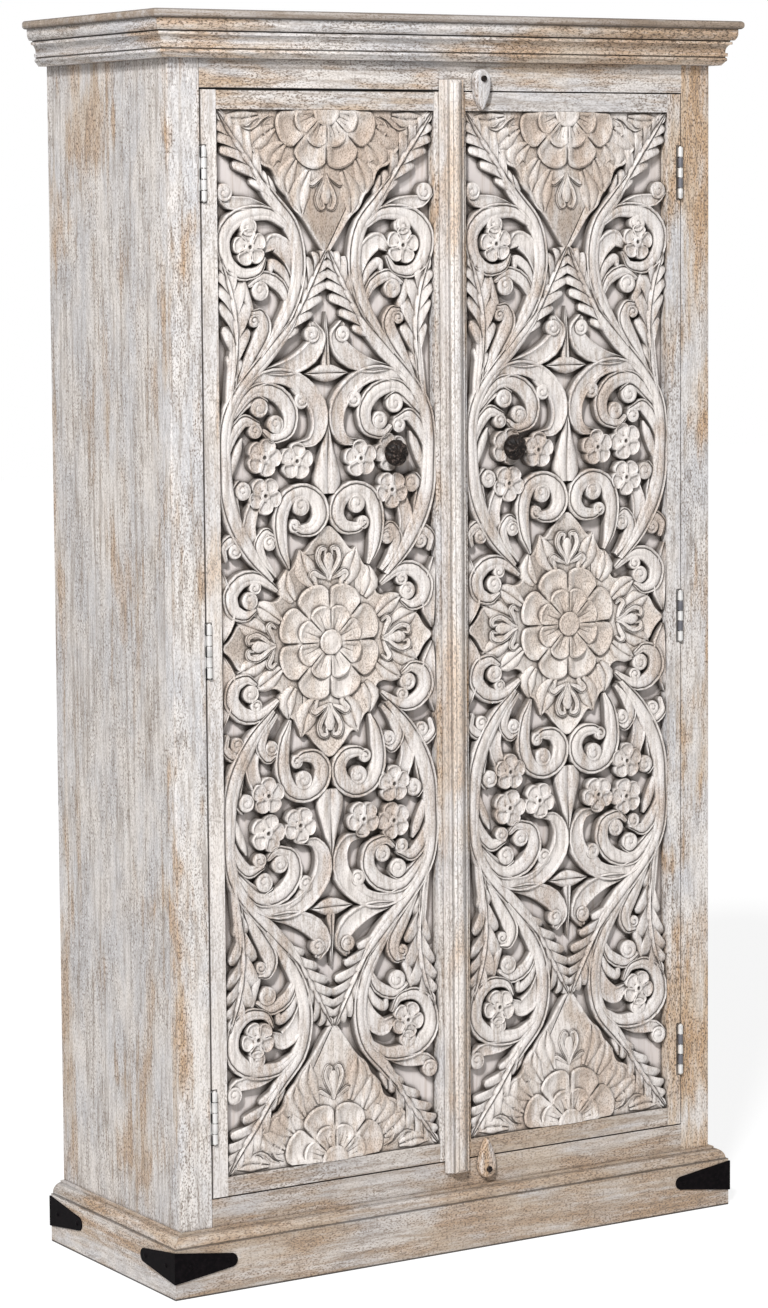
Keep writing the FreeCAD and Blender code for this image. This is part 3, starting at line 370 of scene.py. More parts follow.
def dark_knob_finish(name):
    """Dark oiled knob, with lighter flecks that are partly wear and partly painted glints on its swirl."""
    finish = Finish(name)
    fleck = finish.noise(finish.place, 300.0, 3.0, 0.6)
    tone = finish.noise(finish.place, 90.0, 2.0)
    finish.colour = finish.blend(tone.ramp(0.35, 0.7), *KNOB_BLACKS)
    # Lighter flecks: partly wear and partly painted glints
    finish.lay(fleck.ramp(0.55, 0.66) * 0.5, KNOB_GLINT_FLECK)
    return finish.surface(0.40 + fleck * 0.3, fleck, 0.0006, 0.6, **{"Specular IOR Level": 0.18})


def studio_floor(name):
    """Pale paper floor: it keeps the shadow, and reads white to the camera."""
    finish = Finish(name)
    tone = finish.noise(finish.place, 1.5, 2.0)
    colour = finish.blend(tone, *PAPER_WHITES)
    paper = finish.node("ShaderNodeBsdfPrincipled", {}, {"Base Color": colour, "Roughness": 0.8})
    glow = finish.node("ShaderNodeEmission", {}, {"Strength": FLOOR_GLOW})
    seen = finish.node("ShaderNodeLightPath", {}, {}, "Is Camera Ray")
    return finish.ended(finish.node("ShaderNodeMixShader", {}, {0: seen * FLOOR_COVER, 1: paper, 2: glow}))


UPRIGHT_WASH = whitewashed("upright_wash", "z", 0.90, 1.05)
CARVED_WASH = carved_whitewash("carved_wash")
IRON = forged_iron("iron")
HINGE_STEEL = bright_steel("hinge_steel_bright", (0.74, 0.73, 0.72))
HINGE_DULL = bright_steel("hinge_steel_tarnished", (0.16, 0.16, 0.18))
KNOB_DARK = dark_knob_finish("knob_dark")
# Finishes of the solids by the first or last words of their names; the first that fits counts
FINISHES = (
    ("bracket", IRON),
    ("hinge", HINGE_STEEL),
    ("shelf_battens", plain_wood("inner_runner", "y")),
    (("shelf", "ceiling_board", "floor_board", "plinth_back"), plain_wood("inner_level", "x")),
    ("back_panel", plain_wood("inner_upright", "z")),
    # The fifth number darkens a piece as painted shade and grime: most on the slab, the plinth and the
    # bottom rail
    ("top_slab", whitewashed("slab_wash", "x", 0.8, 0.6, 0.85, edges=SLAB_LINES)),
    ("cornice_front", whitewashed("cornice_wash", "x", 1.10, 1.0, 0.06)),
    ("cornice", whitewashed("cornice_return_wash", "y", 1.0, 0.9, 0.16)),
    ("plinth_front", whitewashed("plinth_wash", "x", 1.15, 1.1, 0.52, edges=PLINTH_LINES)),
    ("plinth", whitewashed("plinth_return_wash", "y", 1.1, 1.0, 0.25, edges=PLINTH_LINES)),
    ("side", whitewashed("side_wash", "z", 0.55, 0.75, 0.17)),
    # Painted light: the meeting strip and the left door's hinge stile get paler copies of the wash
    ("meeting_strip", whitewashed("strip_wash", "z", 0.74, 1.0, reeds=STRIP_REEDS, pale=0.26)),
    # The right-hand stiles get warmer, darker copies: partly the wood's tan, partly painted shade
    ("face_right_stile", whitewashed("warm_wash", "z", 1.10, 1.25)),
    ("left_door_hinge_stile", whitewashed("hung_wash", "z", 0.70, 0.95, gains=HINGE_CENTRES, pale=0.24)),
    ("right_door_hinge_stile", whitewashed("hung_warm_wash", "z", 1.05, 1.15, gains=HINGE_CENTRES)),
    ("nut", bright_steel("screw_steel_dull", (0.30, 0.29, 0.28))),
    (("knob", "screw"), KNOB_DARK),
    ("backing_board", backing_whitewash("backing_wash")),
    ("bottom_rail", whitewashed("low_wash", "x", 1.0, 0.9, 0.48)),
    ("rail", whitewashed("level_wash", "x", 0.95, 0.95, 0.14, seam=DOOR_SEAM)),
)


def paint(piece, material):
    piece.data.materials.clear()
    piece.data.materials.append(material)


def node_finish(name):
    """The finish of a solid that stays in view."""
    for words, finish in FINISHES:
        if name.startswith(words) or name.endswith(words):
            return finish
    return UPRIGHT_WASH


for node_name, node_object in nodes.items():
    paint(node_object, node_finish(node_name))


def net(rows, columns, rows_closed=False, columns_closed=True, turned=False):
    """The faces of a net of points, row after row, turned over if asked."""
    faces = []
    for k in range(rows if rows_closed else rows - 1):
        q = (k + 1) % rows
        for j in range(columns if columns_closed else columns - 1):
            n = (j + 1) % columns
            face = [k * columns + j, q * columns + j, q * columns + n, k * columns + n]
            faces.append([face[0], *face[:0:-1]] if turned else face)
    return faces


class Carving:
    """Gathers closed carved forms as one mesh: u across, v up, h out of the backing, in millimetres."""

    def __init__(self):
        self.points = []
        self.faces = []

    def add(self, points, faces):
        first = sum(map(len, self.points))
        self.points.append(np.asarray(points, float))
        self.faces.extend([[i + first for i in face] for face in faces])

    def stack(self, rows, closed=True):
        """Rings, or open half rings, one over the other from the foot to the top."""
        m = len(rows[0])
        faces = [list(range(m))[::-1]] + net(len(rows), m, columns_closed=closed, turned=True)
        faces.append([(len(rows) - 1) * m + j for j in range(m)])
        if not closed:
            starts = [k * m for k in range(len(rows))]
            faces.append(starts + [k + m - 1 for k in starts[::-1]])
        self.add(np.vstack(rows), faces)

    def sweep(self, rings):
        """Closed sections, one behind the other along a line."""
        m = len(rings[0])
        faces = net(len(rings), m) + [list(range(m))]
        faces.append([(len(rings) - 1) * m + j for j in range(m)][::-1])
        self.add(np.vstack(rings), faces)

    def take(self, other, axes, origin=(0, 0, 0)):
        """Adds another carving's forms, their u, v and h along three directions from an origin."""
        flip = np.linalg.det(axes) < 0
        self.add(np.vstack(other.points) @ np.array(axes, float) + origin,
                 [face[::-1] if flip else face for face in other.faces])


# The narrowest that a band gets, and how closely it and a plain leaf are sampled at first
THINNEST = 0.6
BAND_STEP = 2.0
LEAF_STEP = 3.0


def spine(points, step):
    """A smooth line through (u, v, width) points, sampled about every step."""
    p = np.asarray(points, float)
    ext = np.vstack([2 * p[0] - p[1], p, 2 * p[-1] - p[-2]])
    out = []
    for k in range(len(p) - 1):
        a, b, c, d = ext[k:k + 4]
        n = max(2, int(round(np.linalg.norm(c[:2] - b[:2]) / step)))
        t = np.arange(n)[:, None] / n
        out.append(0.5 * (2 * b + (c - a) * t + (2 * a - 5 * b + 4 * c - d) * t ** 2
                          + (3 * b - a - 3 * c + d) * t ** 3))
    out.append(p[-1:])
    line = np.vstack(out)
    line[:, 2] = np.maximum(line[:, 2], THINNEST)
    along = np.gradient(line[:, :2], axis=0)
    along /= np.maximum(np.linalg.norm(along, axis=1), 1e-9)[:, None]
    return line, along


# The furthest apart that two sections of a band stand, and the most that it turns between them
SECTION_GAP = 14.0
SECTION_TURN = math.radians(18)


def thinned(line, along):
    """The samples that a band needs: close together where it turns, far apart where it runs straight."""
    kept = [0]
    for k in range(1, len(line) - 1):
        gap = np.linalg.norm(line[k + 1, :2] - line[kept[-1], :2])
        if gap > SECTION_GAP or along[k + 1] @ along[kept[-1]] < math.cos(SECTION_TURN):
            kept.append(k)
    kept.append(len(line) - 1)
    return line[kept], along[kept]


# Cross sections: across as a share of the half width, from the outer edge of a curl inwards,
# and up as a share of the height
REEDED = ((-1, 0), (-1, 0.76), (-0.96, 0.90), (-0.85, 0.97), (-0.72, 0.91), (-0.63, 0.77), (-0.53, 0.90),
          (-0.28, 1.0), (0.02, 0.99), (0.27, 0.95), (0.36, 0.90), (0.46, 0.91), (0.70, 0.91),
          (0.91, 0.82), (1, 0.66), (1, 0))
SCOOPED = ((-1, 0), (-1, 0.78), (-0.95, 0.94), (-0.84, 1.0), (-0.70, 0.96), (-0.60, 0.82), (-0.40, 0.80),
           (-0.05, 0.74), (0.30, 0.72), (0.60, 0.80), (0.80, 0.92), (0.93, 0.86), (1, 0.68), (1, 0))
CREASED = ((-1, 0), (-1, 0.62), (-0.90, 0.80), (-0.55, 0.97), (-0.20, 0.93), (0, 0.74), (0.20, 0.93),
           (0.55, 0.97), (0.90, 0.80), (1, 0.62), (1, 0))
ROUNDED = ((-1, 0), (-1, 0.55), (-0.88, 0.78), (-0.55, 0.95), (0, 1.0), (0.55, 0.95), (0.88, 0.78),
           (1, 0.55), (1, 0))
# The carver's strokes run a little broader than their traced spines
BROAD = 1.1
# Narrow bands lie lower: the share of the height at no width, and what a millimetre of width adds
NARROW_RISE = 0.70
WIDTH_RISE = 0.03
# Bands wider than this end round, drawn in at these shares of a quarter turn
ROUND_FROM = 3.0
ROUND_SHARES = (0.35, 0.65, 0.88, 1.0)


def ribbon(carving, points, section, height, foot=0.0, step=BAND_STEP, round_end=True):
    """A tapering carved band along a smooth line."""
    line, along = thinned(*spine(points, step))
    line[:, 2] *= BROAD
    end = line[-1]
    if round_end and end[2] > ROUND_FROM:
        way = along[-1]
        extra = []
        for share in ROUND_SHARES:
            reach = end[2] / 2 * math.sin(share * math.pi / 2)
            extra.append([end[0] + way[0] * reach, end[1] + way[1] * reach,
                          max(THINNEST, end[2] * math.cos(share * math.pi / 2))])
        line = np.vstack([line, extra])
        along = np.vstack([along] + [way] * len(extra))
    across = np.stack([-along[:, 1], along[:, 0]], 1)
    rise = height * np.minimum(1.0, NARROW_RISE + WIDTH_RISE * line[:, 2])
    shares = np.asarray(section, float)
    turning = along[:-1, 0] * along[1:, 1] - along[:-1, 1] * along[1:, 0]
    if turning.sum() < 0:
        shares = shares[::-1] * (-1, 1)
    side, lift = shares[::-1].T
    rings = []
    for k, (u, v, width) in enumerate(line):
        flat = (u, v) + across[k] * (side * width / 2)[:, None]
        rings.append(np.column_stack([flat, foot + lift * (rise[k] - foot)]))
    carving.sweep(rings)


def ring_row(centre, radius, angles, height):
    """Points round a centre, with one radius and height for all or one for each."""
    return np.stack([centre[0] + radius * np.cos(angles), centre[1] + radius * np.sin(angles),
                     height + 0 * angles], 1)


def lathe(carving, centre, rings, columns=24, span=None):
    """A turned form, or a slice of one: (radius, height) rings from the foot to the middle of the top."""
    angles = np.linspace(*span, columns) if span else np.arange(columns) * TWO_PI / columns
    carving.stack([ring_row(centre, radius, angles, height) for radius, height in rings], not span)


# The rolled end of a scroll, in shares of its radius and height, and the curl cut in its face
BUD_RINGS = ((1.0, 0.0), (1.0, 0.74), (0.95, 0.88), (0.86, 0.95), (0.76, 0.97), (0.66, 0.97),
             (0.56, 0.97), (0.46, 0.98), (0.36, 0.99), (0.26, 1.0), (0.16, 1.01), (0.05, 1.01))
BUD_COLUMNS = 22
CURL_TURNS = 1.35
CURL_WIDTH = 0.16
CURL_DEPTH = 1.9


def bud(carving, u, v, radius, height, turn):
    """The rolled end of a scroll: a low disc with a curl cut in its face."""
    lathe(carving, (u, v), [(radius * r, height * h) for r, h in BUD_RINGS], BUD_COLUMNS)
    points = carving.points[-1]
    away = points[:, :2] - (u, v)
    share = np.hypot(away[:, 0], away[:, 1]) / radius
    angle = np.arctan2(away[:, 1], away[:, 0])
    phase = (share * CURL_TURNS + turn * angle / TWO_PI) % 1.0
    cut = np.exp(-((phase - 0.5) / CURL_WIDTH) ** 2)
    cut = cut * np.clip((0.93 - share) / 0.15, 0, 1) * np.clip(share / 0.2, 0, 1)
    points[:, 2] -= CURL_DEPTH * cut * (points[:, 2] > height * 0.9)


def eased(value, low, high):
    """0 below low, 1 above high, smooth between, for arrays."""
    share = np.clip((value - low) / (high - low), 0.0, 1.0)
    return share * share * (3 - 2 * share)


# Petals: rows from root to tip, the lip's share of the reach, the depth of flutes and of a fluted root
PETAL_ROWS = (0.0, 0.14, 0.28, 0.42, 0.55, 0.67, 0.78, 0.87, 0.94, 1.0)
PETAL_LIP = 0.055
FLUTE_DEPTH = 1.1
ROOT_DEPTH = 3.2


def petals(carving, centre, count, root, notch, tip, hollow, rim, turn=0.0, span=None, flutes=0,
           columns=20):
    """A ring, or part of one, of scooped petals with raised rims and cuts between them."""
    begin, end = span or (0.0, TWO_PI)
    total = int(round(count * columns * (end - begin) / TWO_PI))
    angles = begin + (end - begin) * np.arange(total + (1 if span else 0)) / total
    phase = ((angles - turn) * count / TWO_PI) % 1.0
    side = np.abs(2 * phase - 1)
    reach = notch + (tip - notch) * np.sqrt(np.maximum(0.0, 1 - side ** 2.3))
    lip = PETAL_LIP * tip
    bowl = rim - hollow
    rows = [ring_row(centre, root, angles, 0.0)]
    for share in PETAL_ROWS:
        r = root + (reach - root) * share
        beside = (1 - side) * r * math.pi / count
        within = np.minimum(beside, reach - r + 0.02 * tip)
        h = hollow + bowl * (1 - eased(within, lip, 3.4 * lip))
        h = h - bowl * 0.45 * (1 - eased(reach - r, 0.0, 0.5 * lip))
        fade = eased(share, 0.30, 0.62)
        h = h - bowl * (0.5 if flutes else 0.7) * fade * (1 - eased(beside, 0.0, 0.5 * lip))
        if flutes:
            h = h - ROOT_DEPTH * (1 - eased(share, 0.16, 0.34))
            short = eased(share, 0.30, 0.42) * (1 - eased(share, 0.74, 0.86))
            wave = np.abs(np.sin(flutes * math.pi * phase))
            h = h - FLUTE_DEPTH * short * (1 - eased(wave, 0.05, 0.45))
        rows.append(ring_row(centre, r, angles, h))
    rows.append(np.column_stack([rows[-1][:, :2], 0 * angles]))
    m = len(angles)
    n_rows = len(rows)
    faces = net(n_rows, m, True, not span)
    if span:
        faces.append([k * m for k in range(n_rows)][::-1])
        faces.append([k * m + m - 1 for k in range(n_rows)])
    carving.add(np.vstack(rows), faces)


# The drilled button of a small flower: share of the radius, and height over the petals' rims
FLOWER_BUTTON = ((0.30, -1.2), (0.24, 0.3), (0.15, 0.6), (0.10, -0.4), (0.07, -3.0))
FLOWER_BOWL = 3.6


def flower(carving, u, v, radius, height, turn):
    """Five scooped petals round a drilled button."""
    petals(carving, (u, v), 5, radius * 0.16, radius * 0.66, radius, height - FLOWER_BOWL, height, turn,
           columns=14)
    rings = [(radius * FLOWER_BUTTON[0][0], 0.0)]
    rings += [(radius * r, height + lift) for r, lift in FLOWER_BUTTON]
    lathe(carving, (u, v), rings, 16)


# The ringed button of a rosette: share of its radius, and height; then the columns of whole and half ones
ROSETTE_BUTTON = ((1.0, 10.0), (1.0, 15.6), (0.93, 17.0), (0.80, 17.3), (0.70, 16.2), (0.60, 16.2),
                  (0.45, 17.0), (0.2, 17.5), (0.05, 17.5))
WHOLE_COLUMNS = 32
HALF_COLUMNS = 25


def rosette(carving, centre, button, span=None, outer=(8.4, 13.2), inner=(12.2, 16.0)):
    """The great flower of a medallion: outer and fluted inner petals round a ringed button."""
    petals(carving, centre, 8, 38.0, 67.0, 86.0, *outer, span=span)
    petals(carving, centre, 8, 10.0, 43.0, 54.0, *inner, span=span, flutes=4, columns=24)
    rings = [(button * share, height) for share, height in ROSETTE_BUTTON]
    lathe(carving, centre, rings, HALF_COLUMNS if span else WHOLE_COLUMNS, span)


def smoothed(corners):
    """A closed ring of corners, cut twice to a smooth outline."""
    ring = np.asarray(corners, float)
    for _ in range(2):
        ahead = np.roll(ring, -1, axis=0)
        ring = np.stack([ring * 0.75 + ahead * 0.25, ring * 0.25 + ahead * 0.75], 1).reshape(-1, 2)
    return ring


# The edge of a plate: how far in from its outline, and how far under its top
PLATE_EDGE = ((0.0, 1.4), (0.7, 0.3), (2.0, 0.0), (3.4, 0.5), (5.5, 2.0))


def plate(carving, corners, height):
    """A flat form with a softened edge, on a closed ring of corners running anticlockwise."""
    ring = smoothed(corners)
    edge = np.roll(ring, -1, axis=0) - np.roll(ring, 1, axis=0)
    edge /= np.maximum(np.linalg.norm(edge, axis=1), 1e-9)[:, None]
    inward = np.stack([-edge[:, 1], edge[:, 0]], 1)
    steps = [(0.0, 0.0)] + [(inset, height - drop) for inset, drop in PLATE_EDGE]
    carving.stack([np.column_stack([ring + inward * inset, np.full(len(ring), h)]) for inset, h in steps])


# A leaf across: share of the half width and of the height; then its lobes and veins
BLADE_SHARES = ((-1, 0.58), (-0.86, 0.80), (-0.62, 0.93), (-0.36, 0.90), (-0.17, 0.76), (-0.08, 0.96),
                (0, 1.04), (0.08, 0.96), (0.17, 0.76), (0.36, 0.90), (0.62, 0.93), (0.86, 0.80),
                (1, 0.58))
LOBE_DEPTH = 0.56
LOBE_SLANT = 1.15
LOBE_RISE = 0.72
LOBE_FALL = 0.28
VEIN_WIDTH = 0.12
VEIN_DEPTH = 2.4


def blade(carving, points, height, teeth):
    """A leaf with a raised rib, toothed edges and slanting veins."""
    line, along = spine(points, BAND_STEP)
    across = np.stack([-along[:, 1], along[:, 0]], 1)
    stage = np.linspace(0, 1, len(line)) * teeth
    phase = stage % 1.0
    lobe = np.sin(math.pi / 2 * np.minimum(phase / LOBE_RISE, 1.0))
    fallen = np.maximum(phase - LOBE_RISE, 0.0) / LOBE_FALL
    lobe = lobe * np.sqrt(np.maximum(0.0, 1 - fallen ** 2))
    half = line[:, 2] / 2
    shares = np.asarray(BLADE_SHARES, float)[::-1]
    rings = []
    outward = np.abs(shares[:, 0])
    for k in range(len(line)):
        near_notch = min(phase[k], 1 - phase[k])
        vein = math.exp(-(near_notch / VEIN_WIDTH) ** 2) * np.clip((outward - 0.12) * 3, 0, 1)
        reach = shares[:, 0] * half[k] * (1 - LOBE_DEPTH * (1 - lobe[k]))
        slant = outward * half[k] * LOBE_SLANT
        flat = line[k, :2] + across[k] * reach[:, None] + along[k] * slant[:, None]
        top = np.column_stack([flat, height * shares[:, 1] - VEIN_DEPTH * vein])
        low = top[[-1, 0]] * (1, 1, 0)
        rings.append(np.vstack([top, low]))
    carving.sweep(rings)


# Scrolls of one quarter: points (u, v, width), section and height
SCROLLS = (
    # round the rosette
    (((66, 108, 4), (77, 138, 18), (80, 178, 23), (68, 207, 23), (42, 216, 23), (19, 203, 25),
      (13, 181, 24), (25, 164, 20), (45, 161, 15), (58, 168, 10)), REEDED, 15.0),
    (((95, 92, 8), (128, 130, 20), (153, 172, 24), (166, 212, 24), (169, 250, 21), (170, 290, 20),
      (163, 328, 20), (142, 364, 18), (98, 410, 20), (66, 444, 15), (46, 472, 3)), REEDED, 15.5),
    (((98, 100, 8), (122, 136, 19), (131, 168, 22), (122, 200, 18)), SCOOPED, 13.0),
    (((88, 98, 6), (109, 122, 16), (115, 144, 17), (104, 161, 13), (91, 156, 8)), REEDED, 13.5),
    (((118, 114, 6), (138, 138, 15), (156, 153, 17), (173, 142, 14), (170, 126, 9)), REEDED, 13.5),
    (((86, 78, 6), (114, 97, 17), (143, 96, 22), (162, 76, 24), (157, 53, 22), (138, 45, 15),
      (124, 52, 8)), REEDED, 14.5),
    (((178, 112, 4), (171, 82, 16), (167, 44, 23), (174, 12, 4)), SCOOPED, 14.0),
    (((142, 164, 6), (151, 188, 14), (156, 212, 17), (146, 230, 12)), SCOOPED, 12.5),
    # the great scrolls under the crossing
    (((165, 312, 8), (143, 352, 18), (100, 380, 19), (54, 374, 24), (20, 342, 27), (14, 310, 23),
      (28, 287, 14), (58, 284, 3)), SCOOPED, 15.0),
    (((158, 322, 8), (122, 360, 18), (84, 357, 23), (62, 332, 23), (66, 304, 20), (90, 294, 14),
      (104, 303, 8)), REEDED, 14.0),
    (((165, 298, 6), (150, 330, 15), (126, 350, 18), (104, 344, 12)), SCOOPED, 13.0),
    (((168, 262, 6), (158, 296, 17), (138, 319, 18), (116, 314, 10)), REEDED, 13.5),
    (((105, 388, 6), (64, 393, 22), (30, 410, 28), (15, 433, 22), (23, 451, 11)), SCOOPED, 14.5),
    (((150, 362, 6), (123, 410, 19), (103, 446, 22), (108, 468, 15), (120, 470, 8)), REEDED, 14.0),
    (((78, 380, 4), (54, 364, 13), (43, 348, 15)), ROUNDED, 13.0),
    (((172, 222, 4), (158, 252, 13), (146, 280, 13), (140, 294, 4)), ROUNDED, 12.0),
    # above the crossing
    (((110, 408, 8), (74, 455, 18), (52, 500, 21), (46, 545, 21), (57, 590, 22), (86, 626, 19),
      (106, 652, 12), (120, 672, 3)), REEDED, 15.0),
    (((62, 588, 8), (95, 609, 18), (142, 604, 24), (167, 578, 24), (163, 544, 21), (140, 525, 18),
      (113, 528, 13), (102, 545, 7)), REEDED, 14.5),
    (((48, 505, 6), (60, 548, 24), (84, 568, 24), (102, 558, 9)), SCOOPED, 13.5),
    (((60, 478, 6), (76, 508, 17), (103, 520, 17), (124, 510, 9)), REEDED, 13.5),
    (((58, 500, 5), (70, 526, 15), (88, 538, 14), (92, 524, 7)), ROUNDED, 12.5),
    (((88, 612, 6), (124, 622, 17), (156, 624, 18), (174, 636, 10)), SCOOPED, 13.5),
    (((118, 468, 4), (130, 492, 15), (134, 520, 4)), ROUNDED, 12.5),
    (((84, 626, 4), (86, 642, 13), (92, 660, 3)), ROUNDED, 12.0),
    # the edge leaf's rib
    (((164, 330, 6), (157, 368, 14), (153, 410, 12), (153, 436, 3)), REEDED, 15.0),
)
BUDS = ((46, 196, 14, 15.5), (57, 168, 10, 15.0), (98, 146, 11, 14.5), (154, 137, 11, 14.5),
        (131, 66, 13, 15.0), (122, 84, 10, 14.0), (140, 221, 13, 15.0), (44, 345, 12, 14.5),
        (86, 313, 13, 15.0), (112, 337, 14, 14.5), (119, 305, 11, 14.0), (25, 438, 12, 15.2),
        (119, 459, 9, 14.0), (127, 590, 14, 14.5), (109, 501, 14, 15.0), (165, 638, 13, 14.5))
FLOWERS = ((105, 213, 27, 15.6), (105, 267, 28, 14.0), (53, 260, 27, 15.4), (126, 562, 27, 15.6))
# Toothed leaves: points (u, v, width), height and teeth
LEAVES = (
    (((82, 424, 14), (64, 446, 44), (44, 478, 58), (22, 518, 44), (2, 556, 2)), 14.8, 7),
    (((158, 362, 6), (150, 404, 40), (148, 452, 58), (156, 500, 44), (172, 546, 3)), 15.0, 6),
    (((88, 626, 8), (108, 656, 44), (132, 690, 56), (155, 720, 36), (177, 751, 3)), 15.2, 6),
)
MEDALLION_EDGE = ((178, 0), (160, 14), (150, 34), (132, 38), (124, 58), (108, 62), (80, 62), (76, 84),
                  (66, 106), (58, 108), (47, 134), (38, 128), (22, 150), (0, 171))
GABLE_EDGE = ((178, 768), (172, 750), (165, 742), (150, 728), (138, 706), (120, 698), (108, 676),
              (86, 671), (80, 650), (64, 634), (56, 614), (40, 604), (20, 574), (7, 556), (0, 548))
MEDALLION_LEAVES = (
    ((22, 78, 12), (38, 106, 34), (47, 134, 2)), ((58, 62, 12), (70, 82, 28), (67, 107, 2)),
    ((80, 34, 12), (102, 50, 28), (124, 61, 2)), ((96, 14, 12), (128, 28, 30), (150, 37, 2)),
)
GABLE_LEAVES = (
    ((28, 668, 12), (42, 634, 34), (40, 604, 2)), ((50, 684, 12), (66, 656, 32), (64, 633, 2)),
    ((68, 706, 12), (88, 688, 36), (88, 670, 2)), ((84, 728, 12), (110, 712, 34), (123, 697, 2)),
    ((110, 745, 10), (140, 740, 26), (168, 744, 2)),
)
# Curls raised on the medallions: a heart at each tip, and side curls
HEARTS = (
    ((1, 88, 4), (5, 99, 7), (13, 109, 8), (18, 121, 8), (14, 133, 8), (5, 133, 6), (6, 125, 4)),
    ((4, 91, 4), (14, 95, 8), (25, 101, 9), (31, 96, 7), (26, 89, 5)),
)
# The same curls on the level tips
HEARTS += tuple(tuple((v, u, width) for u, v, width in points) for points in HEARTS)
# Bodies of the hearts
HEART = ((0, 90, 2), (0, 102, 10), (0, 113, 19), (0, 120, 15))
GABLE_HEART = ((0, 663, 2), (0, 650, 10), (0, 637, 19), (0, 629, 15))
GABLE_CURLS = (
    ((1, 664, 4), (4, 652, 7), (11, 640, 8), (15, 627, 8), (10, 615, 7), (3, 617, 5), (5, 626, 3)),
    ((4, 661, 4), (13, 655, 7), (23, 649, 8), (28, 653, 6), (24, 660, 4)),
    ((150, 744, 3), (136, 747, 5), (124, 744, 5), (121, 736, 5), (129, 731, 5), (136, 737, 4),
     (130, 741, 3)),
    ((134, 728, 3), (123, 726, 5), (112, 731, 5), (103, 740, 5), (92, 745, 3)),
    ((84, 743, 3), (97, 737, 5), (102, 726, 6), (96, 717, 5), (89, 722, 5), (92, 731, 4), (98, 729, 3)),
)
# Leaves on the middle line, upwards from the rosette: points and height
MIDDLE_LEAVES = (
    (((0, 212, 26), (0, 224, 40), (0, 242, 37), (0, 266, 24), (0, 298, 9), (0, 318, 2)), 13.5),
    (((-36, 383, 1), (0, 383, 24), (36, 383, 1)), 12.0),
    (((0, 392, 13), (0, 424, 9), (0, 470, 1)), 11.0),
)
# Heights of what stands on the medallion and on the gables, and the foot of it inside them
RAISED_LEAVES = ((MEDALLION_LEAVES, 11.6), (GABLE_LEAVES, GABLE_HEIGHT + 1.0))
RAISED_CURLS = ((HEARTS, 13.4), (GABLE_CURLS, GABLE_HEIGHT + 1.6))
HEART_HEIGHT = 12.4
GABLE_HEART_HEIGHT = GABLE_HEIGHT + 0.8
RAISED_FOOT = 4.0
# Radius of a rosette's button in the middle and on a gable, and the gable petals' bowls and rims
MIDDLE_BUTTON = 18.0
GABLE_BUTTON = 22.0
GABLE_OUTER = (11.0, 15.4)
GABLE_INNER = (13.2, 16.6)


def leaf(carving, points, height):
    """A creased leaf that runs out to a point."""
    ribbon(carving, points, CREASED, height, step=LEAF_STEP, round_end=False)


def carve_quarter():
    """The scrolls, buds, flowers and leaves of one quarter of a panel."""
    quarter = Carving()
    for points, section, height in SCROLLS:
        ribbon(quarter, points, section, height)
    for number, (u, v, radius, height) in enumerate(BUDS):
        bud(quarter, u, v, radius, height, 1 if number % 2 else -1)
    for number, (u, v, radius, height) in enumerate(FLOWERS):
        flower(quarter, u, v, radius, height, 0.3 + number)
    for points, height, teeth in LEAVES:
        blade(quarter, points, height, teeth)
    for leaves, height in RAISED_LEAVES:
        for points in leaves:
            leaf(quarter, points, height)
    for curls, height in RAISED_CURLS:
        for points in curls:
            ribbon(quarter, points, REEDED, height, RAISED_FOOT)
    return quarter


def carve_panel():
    """The whole carving of a door: four like quarters, the middle rosette and the two gables."""
    quarter = carve_quarter()
    panel = Carving()
    for u_sign in (1, -1):
        for v_sign in (1, -1):
            panel.take(quarter, np.diag((u_sign, v_sign, 1)))
    upper = list(MEDALLION_EDGE) + [(-u, v) for u, v in MEDALLION_EDGE[::-1][1:]]
    plate(panel, upper + [(u, -v) for u, v in upper[::-1][1:-1]], MEDALLION_HEIGHT)
    rosette(panel, (0.0, 0.0), MIDDLE_BUTTON)
    for v_sign in (1, -1):
        half = Carving()
        plate(half, [(-u, v) for u, v in GABLE_EDGE] + list(GABLE_EDGE[::-1][1:]), GABLE_HEIGHT)
        rosette(half, (0.0, PANEL_HALF_HEIGHT), GABLE_BUTTON, (math.pi, TWO_PI), GABLE_OUTER, GABLE_INNER)
        for points, height in MIDDLE_LEAVES:
            leaf(half, points, height)
        ribbon(half, GABLE_HEART, ROUNDED, GABLE_HEART_HEIGHT, RAISED_FOOT)
        ribbon(half, HEART, ROUNDED, HEART_HEIGHT, RAISED_FOOT)
        panel.take(half, np.diag((1, v_sign, 1)))
    for u_sign in (1, -1):
        side_heart = [(u_sign * v, 0, width) for _, v, width in HEART]
        ribbon(panel, side_heart, ROUNDED, HEART_HEIGHT, RAISED_FOOT)
    return panel


def hung(name, data):
    """A new object in the scene."""
    made = bpy.data.objects.new(name, data)
    scene.collection.objects.link(made)
    return made


# Edges that turn more than this stay sharp
SMOOTH_ANGLE = 0.7


def make_piece(name, forms, material, body):
    """A mesh in metres that rides on a body, smooth but for its sharper edges."""
    mesh = bpy.data.meshes.new(name)
    mesh.from_pydata([tuple(p) for p in np.vstack(forms.points) * MM], [], forms.faces)
    mesh.update()
    piece = hung(name, mesh)
    bpy.ops.object.select_all(action="DESELECT")
    piece.select_set(True)
    bpy.context.view_layer.objects.active = piece
    bpy.ops.object.shade_smooth_by_angle(angle=SMOOTH_ANGLE)
    piece.select_set(False)
    paint(piece, material)
    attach(piece, body)
    return piece


# Directions of u, v and h on the front of the cupboard
FRONT = ((1, 0, 0), (0, 0, 1), (0, -1, 0))


def stood(forms, axes, *origin):
    """Forms set in their place on the cupboard."""
    placed = Carving()
    placed.take(forms, axes, origin)
    return placed


